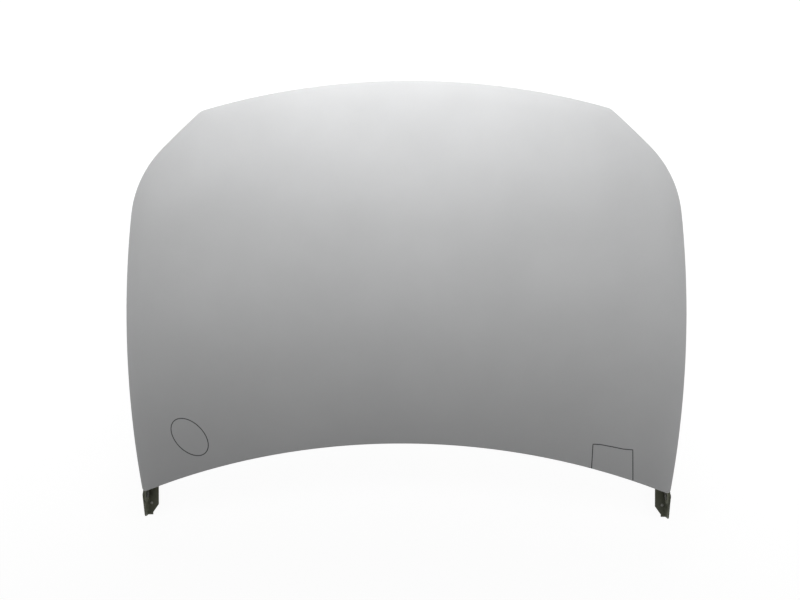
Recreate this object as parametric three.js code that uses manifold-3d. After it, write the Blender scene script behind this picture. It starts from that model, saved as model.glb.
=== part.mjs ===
// A steel car bonnet with its hinges: an outer skin hemmed round a pressed inner panel, with a latch striker.
// Millimetres, +X to the right, +Y towards the nose, +Z up.
// It lies on its nose and on the feet of its hinges.
import * as THREE from "three";
import { mergeVertices } from "three/addons/utils/BufferGeometryUtils.js";
import Module from "manifold-3d";

const wasm = await Module();
wasm.setup();

// Plan outline of the skin, seen from above, with y = 0 at the middle of the rear edge
const width = 1445; // over the widest point of the sides
const widestY = 353; // where the sides are widest
const noseY = 935; // the nose, ahead of the middle of the rear edge
const rearRadius = 1714; // the rear edge, hollow towards the windscreen
const sideRadius = 2774;
const lampRadius = 6174; // the cut line over each headlamp
const lampInward = 122.5; // from the widest point in to a point on that cut line
const lampBack = 139.7; // and from the nose back to it
const lampBearing = 43.4; // the way it faces, in degrees from +X
const noseRadius = 1932;
const shoulderRadius = 288; // from side to headlamp
const noseCornerRadius = 36;
const rearCornerRadius = 9;
const cornerSpread = 0.6; // growth of a small corner's radius with its distance from the edge

// Crown of the skin
const crownY = 120; // where the crown is highest
const lengthRadius = 5000; // along the bonnet
const noseBendY = 560; // ahead of here the nose bends down more
const noseBendRadius = 900;
const widthRadius = 4600; // across the bonnet
const sideFall = 20; // extra fall of the sides
const rollWidth = 52; // the band along sides and nose that rolls down
const rollRadius = 180;

// Sheets and their hem
const skinThickness = 0.8;
const innerThickness = 0.7;
const fitGap = 0.3; // between pieces that touch
const hemWidth = 11; // of the skin's folded flange
const hemFoldGap = 2.2; // from the fold to the edge of the inner panel

// Inner panel
const seatWidth = 13.5; // from the skin's edge to the end of the seat in the hem
const rimWidth = 27; // from the skin's edge to the foot of the wall round the floor
const floorDepth = 24; // of its floor, below the top of the skin
const flangeDepth = 5; // of the flanges round its windows
const flangeWidth = 14;
const windowWall = 16; // width of the sloping wall round each flange
const windowRadius = 40;
const edgeBow = 0.008; // how far their edges bow out, as a share of their length
const rearBeam = 95; // width of its beams, from the skin's edge to the windows
const sideBeam = 100;
const noseBeam = 190;
const ribWidth = 100;
const crossRibY = 468; // middle of the rib that runs across
const ribRearX = 240; // middle of the two lengthwise ribs, at the rear edge
const ribFrontX = 92; // and at the nose
const gussetAcross = 85; // floor kept round each hinge pad, inwards from its middle
const gussetAlong = 137; // and forwards

// Hinges, measured from the rear corners of the skin
const padInset = 56; // from the corner in to the line of the bolts
const padForward = 126; // from the corner forward to the middle of the pad
const padLength = 124;
const padWidth = 30;
const padDepth = 38; // of the pad, below the skin
const padWall = 6;
const reinforcementThickness = 1.5;
const reinforcementMargin = 2; // from its edge to the edge of the pad
const boltFromEnd = 31; // from a hinge bolt to the nearer end of the pad
const boltRadius = 4; // M8
const boltAcross = 13;
const boltHeadHeight = 5.5;
const boltFlangeRadius = 8.5;
const boltFlangeThickness = 1.6;
const boltLength = 18;
const nutHeight = 6.5;
const plateThickness = 3; // of the arms and brackets
const bendRadius = 5; // outside their bends
const armOutset = 1; // from the corner out to the arm's outer face
const armEdge = 17; // of the arm's flange, past the line of the bolts
const armWebFront = 12; // depth of the arm's web at its front end
const armWebRear = 27; // and where its flange ends
const armEndRadius = 20; // round the pivot
const pivotBack = 18; // from the corner back to the pivot
const pivotHeight = 31; // over the floor
const rivetRadius = 5;
const rivetHeadRadius = 9;
const rivetHeadHeight = 4;
const washerThickness = 1;
const washerRadius = 13;
const earRadius = 17; // of the bracket, round the pivot
const earLength = 70; // of the bracket's ear, ahead of the pivot
const tailHeight = 30; // of the ear's tail, over the floor
const tailRadius = 8; // at its upper corner
const footWidth = 30;
const footRear = 59; // of the foot, behind the pivot
const footFront = 96; // and ahead of it
const footCutAcross = 19; // its cut inner corner
const footCutAlong = 27;
const footCornerRadius = 3;
const footHolePitch = 62;
const footHoleForward = 18; // from the pivot forward to the rear hole
const footHoleRadius = 4.5;
const pipBack = 28; // from the pivot back to the pressed pip
const pipAcross = 11.5; // and from the ear's outer face
const pipRadius = 3.8;
const pipRise = 1.2;

// Latch striker
const latchBack = 102; // from the nose back to the striker
const latchDepth = 24; // of the boss, below the skin
const latchPadLength = 124;
const latchPadWidth = 62;
const latchWall = 14;
const padCornerRadius = 8;
const latchReinforcementThickness = 1.2;
const strikerPlateFromEnd = 12; // from its end to the end of the boss
const strikerPlateWidth = 54;
const strikerPlateThickness = 3;
const strikerBoltFromEnd = 25; // from a bolt to the end of the boss
const strikerBoltRadius = 3; // M6
const strikerBoltAcross = 10;
const strikerBoltHeight = 4;
const strikerBoltFlangeRadius = 6.5;
const strikerBoltFlange = 1.2; // thickness of that flange
const strikerBoltLength = 14;
const strikerNutHeight = 5;
const wireRadius = 4;
const wireSpan = 34; // between the middles of its two legs
const wireDrop = 26; // from the plate to the bottom of the wire
const wireBend = 11; // radius at its two bends

// Rubber buffers and mastic
const bufferRadius = 10;
const bufferTipRadius = 8;
const bufferHeight = 14;
const bufferWaist = 5.6; // from its seat to its widest ring
const bufferStemRadius = 4.5;
const bufferStemHeight = 6;
const bufferPadRadius = 13;
const bufferPadDrop = 3; // from the floor of the inner panel to the pad
const bufferPadWall = 5;
const noseBufferInward = 254.5; // from the widest point in to a buffer near the nose
const noseBufferBack = 163; // and from the nose back to it
const sideBufferInset = 58; // from the skin's edge in to the side buffers
const masticRadius = 6.5;
const masticGap = 0.8; // from each bead to the sheets above and below it

// Steps round each stretch of the outline, and along other forms
const rearSteps = 10;
const cornerSteps = 4;
const sideSteps = 9;
const shoulderSteps = 5;
const lampSteps = 4;
const noseSteps = 6;
const roundSteps = 16; // round a bolt or hole
const bendSteps = 4; // round a small corner
const floorStep = 85; // longest edge in the floor of the inner panel
const nudge = 0.5; // for slopes of the skin
const curveSegments = 5; // round a bend
const drillReach = 3; // of a drill, past the sheet that it cuts
const mostPasses = 60; // over the triangles of a floor

const halfWidth = width / 2;
const lampPoint = { x: halfWidth - lampInward, y: noseY - lampBack };
const noseBuffer = { x: halfWidth - noseBufferInward, y: noseY - noseBufferBack };
const quarter = Math.PI / 2;
const flat = (x, y) => new THREE.Vector2(x, y);
const grown = (circle, by) => ({ ...circle, r: circle.r + by });
const bearing = (from, to) => Math.atan2(to.y - from.y, to.x - from.x);
const distance = (a, b) => Math.hypot(b.x - a.x, b.y - a.y);

function onCircle(circle, angle) {
  return flat(circle.x + circle.r * Math.cos(angle), circle.y + circle.r * Math.sin(angle));
}

// The points of an arc, without its last one
function arc(circle, from, to, count) {
  return Array.from({ length: count }, (_, i) => onCircle(circle, from + ((to - from) * i) / count));
}

// Where two circles cross: to the right of the way from a to b, or to its left with a side of -1
function crossing(a, b, side) {
  const apart = distance(a, b);
  const along = (apart ** 2 + a.r ** 2 - b.r ** 2) / (2 * apart);
  const across = side * Math.sqrt(a.r ** 2 - along ** 2);
  const way = bearing(a, b);
  return flat(
    a.x + along * Math.cos(way) + across * Math.sin(way),
    a.y + along * Math.sin(way) - across * Math.cos(way),
  );
}

// The four circles that bound the right half, moved in from the skin's edge
function borders(inset) {
  const facing = THREE.MathUtils.degToRad(lampBearing);
  return {
    rear: { x: 0, y: -rearRadius, r: rearRadius + inset },
    side: { x: halfWidth - sideRadius, y: widestY, r: sideRadius - inset },
    lamp: {
      x: lampPoint.x - lampRadius * Math.cos(facing),
      y: lampPoint.y - lampRadius * Math.sin(facing),
      r: lampRadius - inset,
    },
    nose: { x: 0, y: noseY - noseRadius, r: noseRadius - inset },
  };
}

// The rounded corners between them
function corners(inset) {
  const { rear, side, lamp, nose } = borders(inset);
  const rounding = (radius) => Math.max(radius - inset, cornerSpread * inset);
  const rearR = rounding(rearCornerRadius);
  const shoulderR = rounding(shoulderRadius);
  const noseR = rounding(noseCornerRadius);
  const rearCentre = crossing(grown(rear, rearR), grown(side, -rearR), 1);
  const shoulderCentre = crossing(grown(side, -shoulderR), grown(lamp, -shoulderR), -1);
  const noseCentre = crossing(grown(lamp, -noseR), grown(nose, -noseR), -1);
  return {
    rear: { x: rearCentre.x, y: rearCentre.y, r: rearR },
    shoulder: { x: shoulderCentre.x, y: shoulderCentre.y, r: shoulderR },
    nose: { x: noseCentre.x, y: noseCentre.y, r: noseR },
  };
}

// The outline moved in, as a ring from the middle of the rear edge round by the right
function outline(inset) {
  const { rear, side, lamp, nose } = borders(inset);
  const round = corners(inset);
  const right = [
    ...arc(rear, quarter, bearing(rear, round.rear), rearSteps),
    ...arc(round.rear, bearing(round.rear, rear), bearing(side, round.rear), cornerSteps),
    ...arc(side, bearing(side, round.rear), bearing(side, round.shoulder), sideSteps),
    ...arc(round.shoulder, bearing(side, round.shoulder), bearing(lamp, round.shoulder), shoulderSteps),
    ...arc(lamp, bearing(lamp, round.shoulder), bearing(lamp, round.nose), lampSteps),
    ...arc(round.nose, bearing(lamp, round.nose), bearing(nose, round.nose), cornerSteps),
    ...arc(nose, bearing(nose, round.nose), quarter, noseSteps),
    onCircle(nose, quarter),
  ];
  const left = right.slice(1, -1).reverse();
  return [...right, ...left.map((p) => flat(-p.x, p.y))];
}

// How far a point lies inside the sides and the nose
const edge = borders(0);
const edgeCorners = corners(0);

function insetAt(x, y) {
  const point = { x: Math.abs(x), y };
  const rounded = [
    [edge.side, edgeCorners.shoulder, edge.lamp],
    [edge.lamp, edgeCorners.nose, edge.nose],
  ];
  for (const [before, corner, after] of rounded) {
    const way = bearing(corner, point);
    const within = way > bearing(before, corner) && way < bearing(after, corner);
    if (within) return corner.r - distance(corner, point);
  }
  return Math.min(...[edge.side, edge.lamp, edge.nose].map((border) => border.r - distance(border, point)));
}

// Height of the skin, from the top of its crown down
function fall(x, y) {
  const bend = Math.max(0, y - noseBendY);
  const roll = Math.max(0, rollWidth - insetAt(x, y));
  const lengthwise = (y - crownY) ** 2 / (2 * lengthRadius) + bend ** 2 / (2 * noseBendRadius);
  const across = x ** 2 / (2 * widthRadius) + sideFall * (x / halfWidth) ** 4;
  return -(lengthwise + across + roll ** 2 / (2 * rollRadius));
}

function skinNormal(x, y) {
  const slopeX = (fall(x + nudge, y) - fall(x - nudge, y)) / (2 * nudge);
  const slopeY = (fall(x, y + nudge) - fall(x, y - nudge)) / (2 * nudge);
  return new THREE.Vector3(-slopeX, -slopeY, 1).normalize();
}

function belowCrown(x, y, depth) {
  return new THREE.Vector3(x, y, fall(x, y)).addScaledVector(skinNormal(x, y), -depth);
}

// The outer face of the hem: inset and depth of each ring, from the top of the skin round the fold
const hemRadius = skinThickness + fitGap + innerThickness / 2;
const foldRings = [-1, -0.5, 0, 0.5, 1].map((turn) => [
  hemRadius * (1 - Math.cos(turn * quarter)),
  hemRadius * (1 + Math.sin(turn * quarter)),
]);
const noseHeights = foldRings.map(([inset, depth]) => belowCrown(0, noseY - inset, depth).z);
const crownHeight = -Math.min(...noseHeights);

// A point at a depth below the top of the skin, square to it
function under(x, y, depth) {
  return belowCrown(x, y, depth).add(new THREE.Vector3(0, 0, crownHeight));
}

// Where on the skin to start, so that the point at a depth has the given x and y
function startOver(x, y, depth) {
  const start = flat(x, y);
  for (let pass = 0; pass < 4; pass += 1) {
    const normal = skinNormal(start.x, start.y);
    start.set(x + normal.x * depth, y + normal.y * depth);
  }
  return start;
}

const heightOver = (x, y) => fall(x, y) + crownHeight;

// A sheet is a surface of points and triangles, facing away from the metal
const newSheet = () => ({ points: [], triangles: [] });

function addRing(sheet, points) {
  const first = sheet.points.length;
  sheet.points.push(...points);
  return points.map((_, i) => first + i);
}

// Joins two rings of as many points, the outer one first, by the shorter diagonals
function addStrip(sheet, outer, inner) {
  const { points, triangles } = sheet;
  outer.forEach((a, i) => {
    const next = (i + 1) % outer.length;
    const [b, c, d] = [outer[next], inner[next], inner[i]];
    const rising = points[a].distanceTo(points[c]) < points[b].distanceTo(points[d]);
    if (rising) triangles.push([a, b, c], [a, c, d]);
    else triangles.push([a, b, d], [b, c, d]);
  });
}

// The inside of a ring as a grid of rows that blend from side to side
function addGrid(sheet, ring, place) {
  const total = ring.length;
  const corner = rearSteps + cornerSteps / 2;
  const rows = cornerSteps / 2 + sideSteps + shoulderSteps + lampSteps / 2;
  const columns = 2 * corner;
  const index = (k) => ((k % total) + total) % total;
  const rear = (i) => index(i - corner);
  const nose = (i) => index(total - corner - rows - i);
  const right = (j) => index(corner + j);
  const left = (j) => index(-corner - j);
  const xy = ring.map((k) => flat(sheet.points[k].x, sheet.points[k].y));
  const blend = (i, j) => {
    const [u, v] = [i / columns, j / rows];
    const point = flat(0, 0);
    point.addScaledVector(xy[rear(i)], 1 - v).addScaledVector(xy[nose(i)], v);
    point.addScaledVector(xy[left(j)], 1 - u).addScaledVector(xy[right(j)], u);
    point.addScaledVector(xy[rear(0)], -(1 - u) * (1 - v)).addScaledVector(xy[rear(columns)], -u * (1 - v));
    point.addScaledVector(xy[nose(0)], -(1 - u) * v).addScaledVector(xy[nose(columns)], -u * v);
    return point;
  };
  const node = (i, j) => {
    if (j === 0) return ring[rear(i)];
    if (j === rows) return ring[nose(i)];
    if (i === 0) return ring[left(j)];
    if (i === columns) return ring[right(j)];
    const point = blend(i, j);
    return addRing(sheet, [place(point.x, point.y)])[0];
  };
  const row = (j) => Array.from({ length: columns + 1 }, (_, i) => node(i, j));
  const grid = Array.from({ length: rows + 1 }, (_, j) => row(j));
  for (let j = 0; j < rows; j += 1) {
    for (let i = 0; i < columns; i += 1) {
      const [a, b, c, d] = [grid[j][i], grid[j][i + 1], grid[j + 1][i + 1], grid[j + 1][i]];
      const rising = i < columns / 2 === j < rows / 2;
      if (rising) sheet.triangles.push([a, b, c], [a, c, d]);
      else sheet.triangles.push([a, b, d], [b, c, d]);
    }
  }
}

const turns = (a, b, c) => (b.x - a.x) * (c.y - a.y) - (b.y - a.y) * (c.x - a.x);

// True if d lies inside the circle through a, b and c, which turn to the left
function inCircle(a, b, c, d) {
  const rows = [a, b, c].map((p) => [p.x - d.x, p.y - d.y, (p.x - d.x) ** 2 + (p.y - d.y) ** 2]);
  return new THREE.Matrix3().set(...rows.flat()).determinant() > nudge;
}

// Each inner edge of a triangulation, with the two triangles beside it
function innerEdges(triangles) {
  const seen = new Map();
  const pairs = [];
  triangles.forEach((triangle, t) => {
    triangle.forEach((a, k) => {
      const b = triangle[(k + 1) % 3];
      const other = seen.get(`${b},${a}`);
      if (other === undefined) seen.set(`${a},${b}`, t);
      else pairs.push({ a, b, left: t, right: other });
    });
  });
  return pairs;
}

// Turns inner edges until the triangles are as round as they can be
function roundTriangles(points, triangles) {
  for (let pass = 0, changed = true; changed && pass < mostPasses; pass += 1) {
    changed = false;
    const touched = new Set();
    for (const { a, b, left, right } of innerEdges(triangles)) {
      if (touched.has(left) || touched.has(right)) continue;
      const c = triangles[left].find((k) => k !== a && k !== b);
      const d = triangles[right].find((k) => k !== a && k !== b);
      const [pa, pb, pc, pd] = [a, b, c, d].map((k) => points[k]);
      const convex = turns(pc, pd, pb) > nudge && turns(pd, pc, pa) > nudge;
      if (!convex || !inCircle(pa, pb, pc, pd)) continue;
      triangles[left] = [c, d, b];
      triangles[right] = [d, c, a];
      touched.add(left).add(right);
      changed = true;
    }
  }
}

// Halves the inner edges that are too long
function splitEdges(points, triangles, longest) {
  for (let pass = 0, changed = true; changed && pass < mostPasses; pass += 1) {
    changed = false;
    const touched = new Set();
    const long = innerEdges(triangles).filter(({ a, b }) => distance(points[a], points[b]) > longest);
    long.sort((p, q) => distance(points[q.a], points[q.b]) - distance(points[p.a], points[p.b]));
    for (const { a, b, left, right } of long) {
      if (touched.has(left) || touched.has(right)) continue;
      const c = triangles[left].find((k) => k !== a && k !== b);
      const d = triangles[right].find((k) => k !== a && k !== b);
      const middle = points.push(points[a].clone().lerp(points[b], 0.5)) - 1;
      touched.add(left).add(right);
      triangles[left] = [a, middle, c];
      triangles[right] = [middle, a, d];
      triangles.push([middle, b, c], [b, middle, d]);
      changed = true;
    }
    roundTriangles(points, triangles);
  }
}

// Fills the space between a ring and the holes in it; new points go where place says
function addFloor(sheet, outer, holes, longest, place) {
  const loops = [outer, ...holes];
  const points = loops.flatMap((loop) => loop.starts);
  const known = loops.flatMap((loop) => loop.ring);
  const triangles = THREE.ShapeUtils.triangulateShape(
    outer.starts,
    holes.map((hole) => hole.starts),
  ).map(([a, b, c]) => (turns(points[a], points[b], points[c]) > 0 ? [a, b, c] : [a, c, b]));
  roundTriangles(points, triangles);
  splitEdges(points, triangles, longest);
  const added = addRing(sheet, points.slice(known.length).map(place));
  const nodes = [...known, ...added];
  triangles.forEach((triangle) => sheet.triangles.push(triangle.map((k) => nodes[k])));
}

// A closed solid from a sheet, which faces out, with its thickness behind it
function thickened(sheet, thickness) {
  const { points, triangles } = sheet;
  const faces = triangles.map(([a, b, c]) => {
    const normal = new THREE.Vector3();
    new THREE.Triangle(points[a], points[b], points[c]).getNormal(normal);
    return normal;
  });
  const sums = points.map(() => new THREE.Vector3());
  const touching = points.map(() => []);
  triangles.forEach((triangle, t) => {
    triangle.forEach((k, i) => {
      const toNext = points[triangle[(i + 1) % 3]].clone().sub(points[k]);
      const toLast = points[triangle[(i + 2) % 3]].clone().sub(points[k]);
      sums[k].addScaledVector(faces[t], toNext.angleTo(toLast));
      touching[k].push(faces[t]);
    });
  });
  const back = points.map((point, k) => {
    const normal = sums[k].normalize();
    const share = touching[k].reduce((sum, face) => sum + face.dot(normal), 0) / touching[k].length;
    return point.clone().addScaledVector(normal, -thickness / share);
  });
  const count = points.length;
  const used = new Set(triangles.flatMap(([a, b, c]) => [`${a},${b}`, `${b},${c}`, `${c},${a}`]));
  const edges = [...used].map((name) => name.split(",").map(Number));
  const rims = edges.filter(([a, b]) => !used.has(`${b},${a}`));
  const all = [
    ...triangles,
    ...triangles.map(([a, b, c]) => [a + count, c + count, b + count]),
    ...rims.flatMap(([a, b]) => [[b, a, a + count], [b, a + count, b + count]]),
  ];
  const geometry = new THREE.BufferGeometry();
  const places = [...points, ...back].flatMap((point) => point.toArray());
  geometry.setAttribute("position", new THREE.Float32BufferAttribute(places, 3));
  geometry.setIndex(all.flat());
  return geometry;
}

// Joins and cuts
function toSolid(geometry) {
  const bare = geometry.clone();
  bare.deleteAttribute("normal");
  bare.deleteAttribute("uv");
  const merged = mergeVertices(bare, 1e-4);
  const mesh = new wasm.Mesh({
    numProp: 3,
    vertProperties: new Float32Array(merged.attributes.position.array),
    triVerts: new Uint32Array(merged.index.array),
  });
  return new wasm.Manifold(mesh);
}

function toGeometry(solid) {
  const { vertProperties, triVerts } = solid.getMesh();
  const geometry = new THREE.BufferGeometry();
  geometry.setAttribute("position", new THREE.BufferAttribute(new Float32Array(vertProperties), 3));
  geometry.setIndex(new THREE.BufferAttribute(new Uint32Array(triVerts), 1));
  return geometry;
}

const joined = (...parts) => toGeometry(parts.map(toSolid).reduce((sum, part) => sum.add(part)));

function cut(body, ...tools) {
  return toGeometry(tools.map(toSolid).reduce((rest, tool) => rest.subtract(tool), toSolid(body)));
}

// A ring round a convex polygon with rounded corners, moved out by an offset
function roundedRing(polygon, radius, offset, longest = Infinity) {
  const count = polygon.length;
  const facing = polygon.map((p, i) => bearing(p, polygon[(i + 1) % count]) - quarter);
  const rounds = polygon.map((p, i) => {
    const from = facing[(i + count - 1) % count];
    const turn = THREE.MathUtils.euclideanModulo(facing[i] - from, 2 * Math.PI);
    const back = radius / Math.cos(turn / 2);
    const centre = onCircle({ x: p.x, y: p.y, r: -back }, from + turn / 2);
    return { circle: { x: centre.x, y: centre.y, r: radius + offset }, from, to: from + turn };
  });
  return rounds.flatMap(({ circle, from, to }, i) => {
    const next = rounds[(i + 1) % count];
    const start = onCircle(circle, to);
    const end = onCircle(next.circle, next.from);
    const pieces = Math.ceil(distance(circle, next.circle) / longest);
    const straight = Array.from({ length: pieces }, (_, k) => {
      const along = k / pieces;
      const bow = edgeBow * start.distanceTo(end) * 4 * along * (1 - along);
      return start.clone().lerp(end, along).add(onCircle({ x: 0, y: 0, r: bow }, to));
    });
    return [...arc(circle, from, to, bendSteps), ...straight];
  });
}

function rectangle(x, y, length, breadth) {
  const [dx, dy] = [length / 2, breadth / 2];
  return [flat(x - dx, y - dy), flat(x + dx, y - dy), flat(x + dx, y + dy), flat(x - dx, y + dy)];
}

const mirroredRing = (ring) => ring.map((p) => flat(-p.x, p.y)).reverse();

// Extrusions: a shape in x and y upwards, in x and z along Y, or in y and z along X
function extruded(shape, depth) {
  return new THREE.ExtrudeGeometry(shape, { depth, curveSegments, bevelEnabled: false });
}

const upwards = (shape, from, to) => extruded(shape, to - from).translate(0, 0, from);
const alongY = (shape, from, to) => extruded(shape, to - from).rotateX(quarter).translate(0, to, 0);
const stoodUp = (shape, depth) => extruded(shape, depth).rotateX(quarter).rotateZ(quarter);
const alongX = (shape, from, to) => stoodUp(shape, to - from).translate(from, 0, 0);

function drill(x, y, from, to, radius) {
  return upwards(new THREE.Shape(arc({ x, y, r: radius }, 0, 2 * Math.PI, roundSteps)), from, to);
}

// A turned piece, its axis along +Z
function turned(profile) {
  const points = profile.map(([r, z]) => flat(r, z));
  return new THREE.LatheGeometry(points, roundSteps).rotateX(quarter);
}

function hexagon(across, height) {
  const radius = across / 2 / Math.cos(Math.PI / 6);
  return upwards(new THREE.Shape(arc({ x: 0, y: 0, r: radius }, 0, 2 * Math.PI, 6)), 0, height);
}

function mirrored(geometry) {
  const copy = toGeometry(toSolid(geometry)).scale(-1, 1, 1);
  const index = copy.index.array;
  for (let i = 0; i < index.length; i += 3) [index[i], index[i + 1]] = [index[i + 1], index[i]];
  return copy;
}

// Places of the hinges
const rearCorner = flat(edgeCorners.rear.x + edgeCorners.rear.r, edgeCorners.rear.y - edgeCorners.rear.r);
const hingePad = { x: rearCorner.x - padInset, y: rearCorner.y + padForward };
hingePad.z = heightOver(hingePad.x, hingePad.y) - padDepth;
const pivot = new THREE.Vector3(rearCorner.x + armOutset, rearCorner.y - pivotBack, pivotHeight);
const boltPitch = padLength - 2 * boltFromEnd;
const boltYs = [hingePad.y - boltPitch / 2, hingePad.y + boltPitch / 2];

// Places of the latch and buffers
const latch = { x: 0, y: noseY - latchBack };
latch.z = heightOver(latch.x, latch.y) - latchDepth;
const strikerBoltPitch = latchPadLength - 2 * strikerBoltFromEnd;
const strikerPlateLength = latchPadLength - 2 * strikerPlateFromEnd;
const strikerBoltXs = [-strikerBoltPitch / 2, strikerBoltPitch / 2];

function bufferPad(x, y) {
  const start = startOver(x, y, floorDepth);
  return { x, y, z: under(start.x, start.y, floorDepth).z - bufferPadDrop };
}

const sideBufferReach = edge.side.r - sideBufferInset;
const sideBufferX = edge.side.x + Math.sqrt(sideBufferReach ** 2 - (crossRibY - edge.side.y) ** 2);
const bufferPads = [bufferPad(noseBuffer.x, noseBuffer.y), bufferPad(sideBufferX, crossRibY)];

// The windows of the inner panel, as polygons on the skin
function windows() {
  const rib = [flat(ribRearX, 0), flat(ribFrontX, noseY)];
  const lean = bearing(...rib) - quarter;
  const onRib = (side, y) => {
    const shift = (side * ribWidth) / 2 / Math.cos(lean);
    return flat(ribRearX + shift - y * Math.tan(lean), y);
  };
  const ribMeets = (side, circle) => {
    let point = onRib(side, 0);
    for (let pass = 0; pass < 8; pass += 1) {
      point = onRib(side, circle.y + Math.sqrt(circle.r ** 2 - point.x ** 2));
    }
    return point;
  };
  const { rear } = borders(rearBeam);
  const { side } = borders(sideBeam);
  const { nose } = borders(noseBeam);
  const onSide = (y) => flat(side.x + Math.sqrt(side.r ** 2 - (y - side.y) ** 2), y);
  const ribRear = crossRibY - ribWidth / 2;
  const ribFront = crossRibY + ribWidth / 2;
  const gussetX = hingePad.x - gussetAcross;
  const middleRear = [ribMeets(-1, rear), onRib(-1, ribRear)];
  const middleFront = [onRib(-1, ribFront), ribMeets(-1, nose)];
  const right = [
    [
      ribMeets(1, rear),
      flat(gussetX, rear.y + Math.sqrt(rear.r ** 2 - gussetX ** 2)),
      onSide(hingePad.y + gussetAlong),
      onSide(ribRear),
      onRib(1, ribRear),
    ],
    [onRib(1, ribFront), onSide(ribFront), crossing(side, nose, -1), ribMeets(1, nose)],
  ];
  return {
    middle: [middleRear, middleFront].map((half) => [...half, ...mirroredRing(half)]),
    right,
    left: right.map(mirroredRing),
  };
}

const { middle, right, left } = windows();
const openings = [...middle, ...right, ...left];

// Outer skin: the crowned panel, its edge folded back under itself all round
function outerSkin() {
  const sheet = newSheet();
  const place = (inset, depth) => outline(inset).map((p) => under(p.x, p.y, depth));
  const across = [rollWidth, (rollWidth + hemWidth) / 2, hemWidth + 2 * hemRadius];
  const rings = [...across.map((inset) => [inset, 0]), ...foldRings, [hemWidth, 2 * hemRadius]];
  const placed = rings.map(([inset, depth]) => addRing(sheet, place(inset, depth)));
  addGrid(sheet, placed[0], (x, y) => under(x, y, 0));
  placed.slice(1).forEach((ring, i) => addStrip(sheet, ring, placed[i]));
  return thickened(sheet, skinThickness);
}

// Inner panel: one pressing with a seat in the hem, a floor of beams and ribs, flanged windows and flat pads
function innerPanel() {
  const sheet = newSheet();
  const lay = (starts, depth) => {
    const ring = addRing(
      sheet,
      starts.map((p) => under(p.x, p.y, depth)),
    );
    return { starts, ring };
  };
  const seatDepth = skinThickness + fitGap;
  const rimEdge = lay(outline(hemFoldGap), seatDepth);
  const seat = lay(outline(seatWidth), seatDepth);
  const rim = lay(outline(rimWidth), floorDepth);
  addStrip(sheet, rimEdge.ring, seat.ring);
  addStrip(sheet, seat.ring, rim.ring);

  const windowRings = openings.map((polygon) => {
    const ring = (offset, depth) => lay(roundedRing(polygon, windowRadius, offset, floorStep), depth);
    const foot = ring(flangeWidth + windowWall, floorDepth);
    const top = ring(flangeWidth, flangeDepth);
    const hole = ring(0, flangeDepth);
    addStrip(sheet, foot.ring, top.ring);
    addStrip(sheet, top.ring, hole.ring);
    return foot;
  });

  // A flat pad at a height, with a sloping wall up or down to the floor
  const addPad = (plateau, foot, z) => {
    const starts = foot.map((p) => startOver(p.x, p.y, floorDepth));
    const base = lay(starts, floorDepth);
    const top = addRing(sheet, plateau.map((p) => new THREE.Vector3(p.x, p.y, z)));
    addStrip(sheet, base.ring, top);
    addFloor(sheet, { starts: plateau, ring: top }, [], Infinity, (p) => new THREE.Vector3(p.x, p.y, z));
    return base;
  };
  const padRing = (polygon, offset) => roundedRing(polygon, padCornerRadius, offset);
  const hinge = rectangle(hingePad.x, hingePad.y, padWidth, padLength);
  const boss = rectangle(latch.x, latch.y, latchPadLength, latchPadWidth);
  const hingeRings = [padRing(hinge, 0), padRing(hinge, padWall)];
  const pads = [
    addPad(...hingeRings, hingePad.z),
    addPad(...hingeRings.map(mirroredRing), hingePad.z),
    addPad(padRing(boss, 0), padRing(boss, latchWall), latch.z),
  ];
  for (const { x, y, z } of bufferPads) {
    const around = (radius) => arc({ x, y, r: radius }, 0, 2 * Math.PI, roundSteps / 2);
    const rings = [around(bufferPadRadius), around(bufferPadRadius + bufferPadWall)];
    pads.push(addPad(...rings, z), addPad(...rings.map(mirroredRing), z));
  }
  addFloor(sheet, rim, [...windowRings, ...pads], floorStep, (p) => under(p.x, p.y, floorDepth));

  const panel = thickened(sheet, innerThickness);
  const hole = (x, y, z, radius) => drill(x, y, z - drillReach, z + drillReach, radius + fitGap);
  const holes = [
    ...boltYs.flatMap((y) => [1, -1].map((side) => hole(side * hingePad.x, y, hingePad.z, boltRadius))),
    ...strikerBoltXs.map((x) => hole(x, latch.y, latch.z, strikerBoltRadius)),
    ...bufferPads.flatMap(({ x, y, z }) => [1, -1].map((side) => hole(side * x, y, z, bufferStemRadius))),
  ];
  return cut(panel, ...holes);
}

// A plate with bolt holes, its underside at z = 0
function drilledPlate(length, breadth, thickness, holes) {
  const shape = new THREE.Shape(roundedRing(rectangle(0, 0, length, breadth), padCornerRadius, 0));
  const tools = holes.map(({ x, y, r }) => drill(x, y, -thickness, 2 * thickness, r + fitGap));
  return cut(upwards(shape, 0, thickness), ...tools);
}

// A flanged bolt, the seat of its head at z = 0 and its shank upwards
function bolt({ radius, across, head, flangeRadius, flange, length }) {
  const shank = turned([
    [0, -flange],
    [flangeRadius, -flange],
    [flangeRadius, 0],
    [radius, 0],
    [radius, length],
    [0, length],
  ]);
  return joined(shank, hexagon(across, head + flange / 2).translate(0, 0, -flange - head));
}

function nut(across, height, radius) {
  return cut(hexagon(across, height), drill(0, 0, -height, 2 * height, radius + fitGap));
}

// The angle where a plate turns from flat to upright, its outer corner at the origin, flat towards -X
function bendSection(flatLength, uprightLength) {
  const inside = bendRadius - plateThickness;
  const shape = new THREE.Shape();
  shape.moveTo(-flatLength, 0);
  shape.lineTo(-bendRadius, 0);
  shape.absarc(-bendRadius, -bendRadius, bendRadius, quarter, 0, true);
  shape.lineTo(0, -uprightLength);
  shape.lineTo(-plateThickness, -uprightLength);
  shape.lineTo(-plateThickness, -bendRadius);
  shape.absarc(-bendRadius, -bendRadius, inside, 0, quarter, false);
  shape.lineTo(-flatLength, -plateThickness);
  return shape;
}

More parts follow.
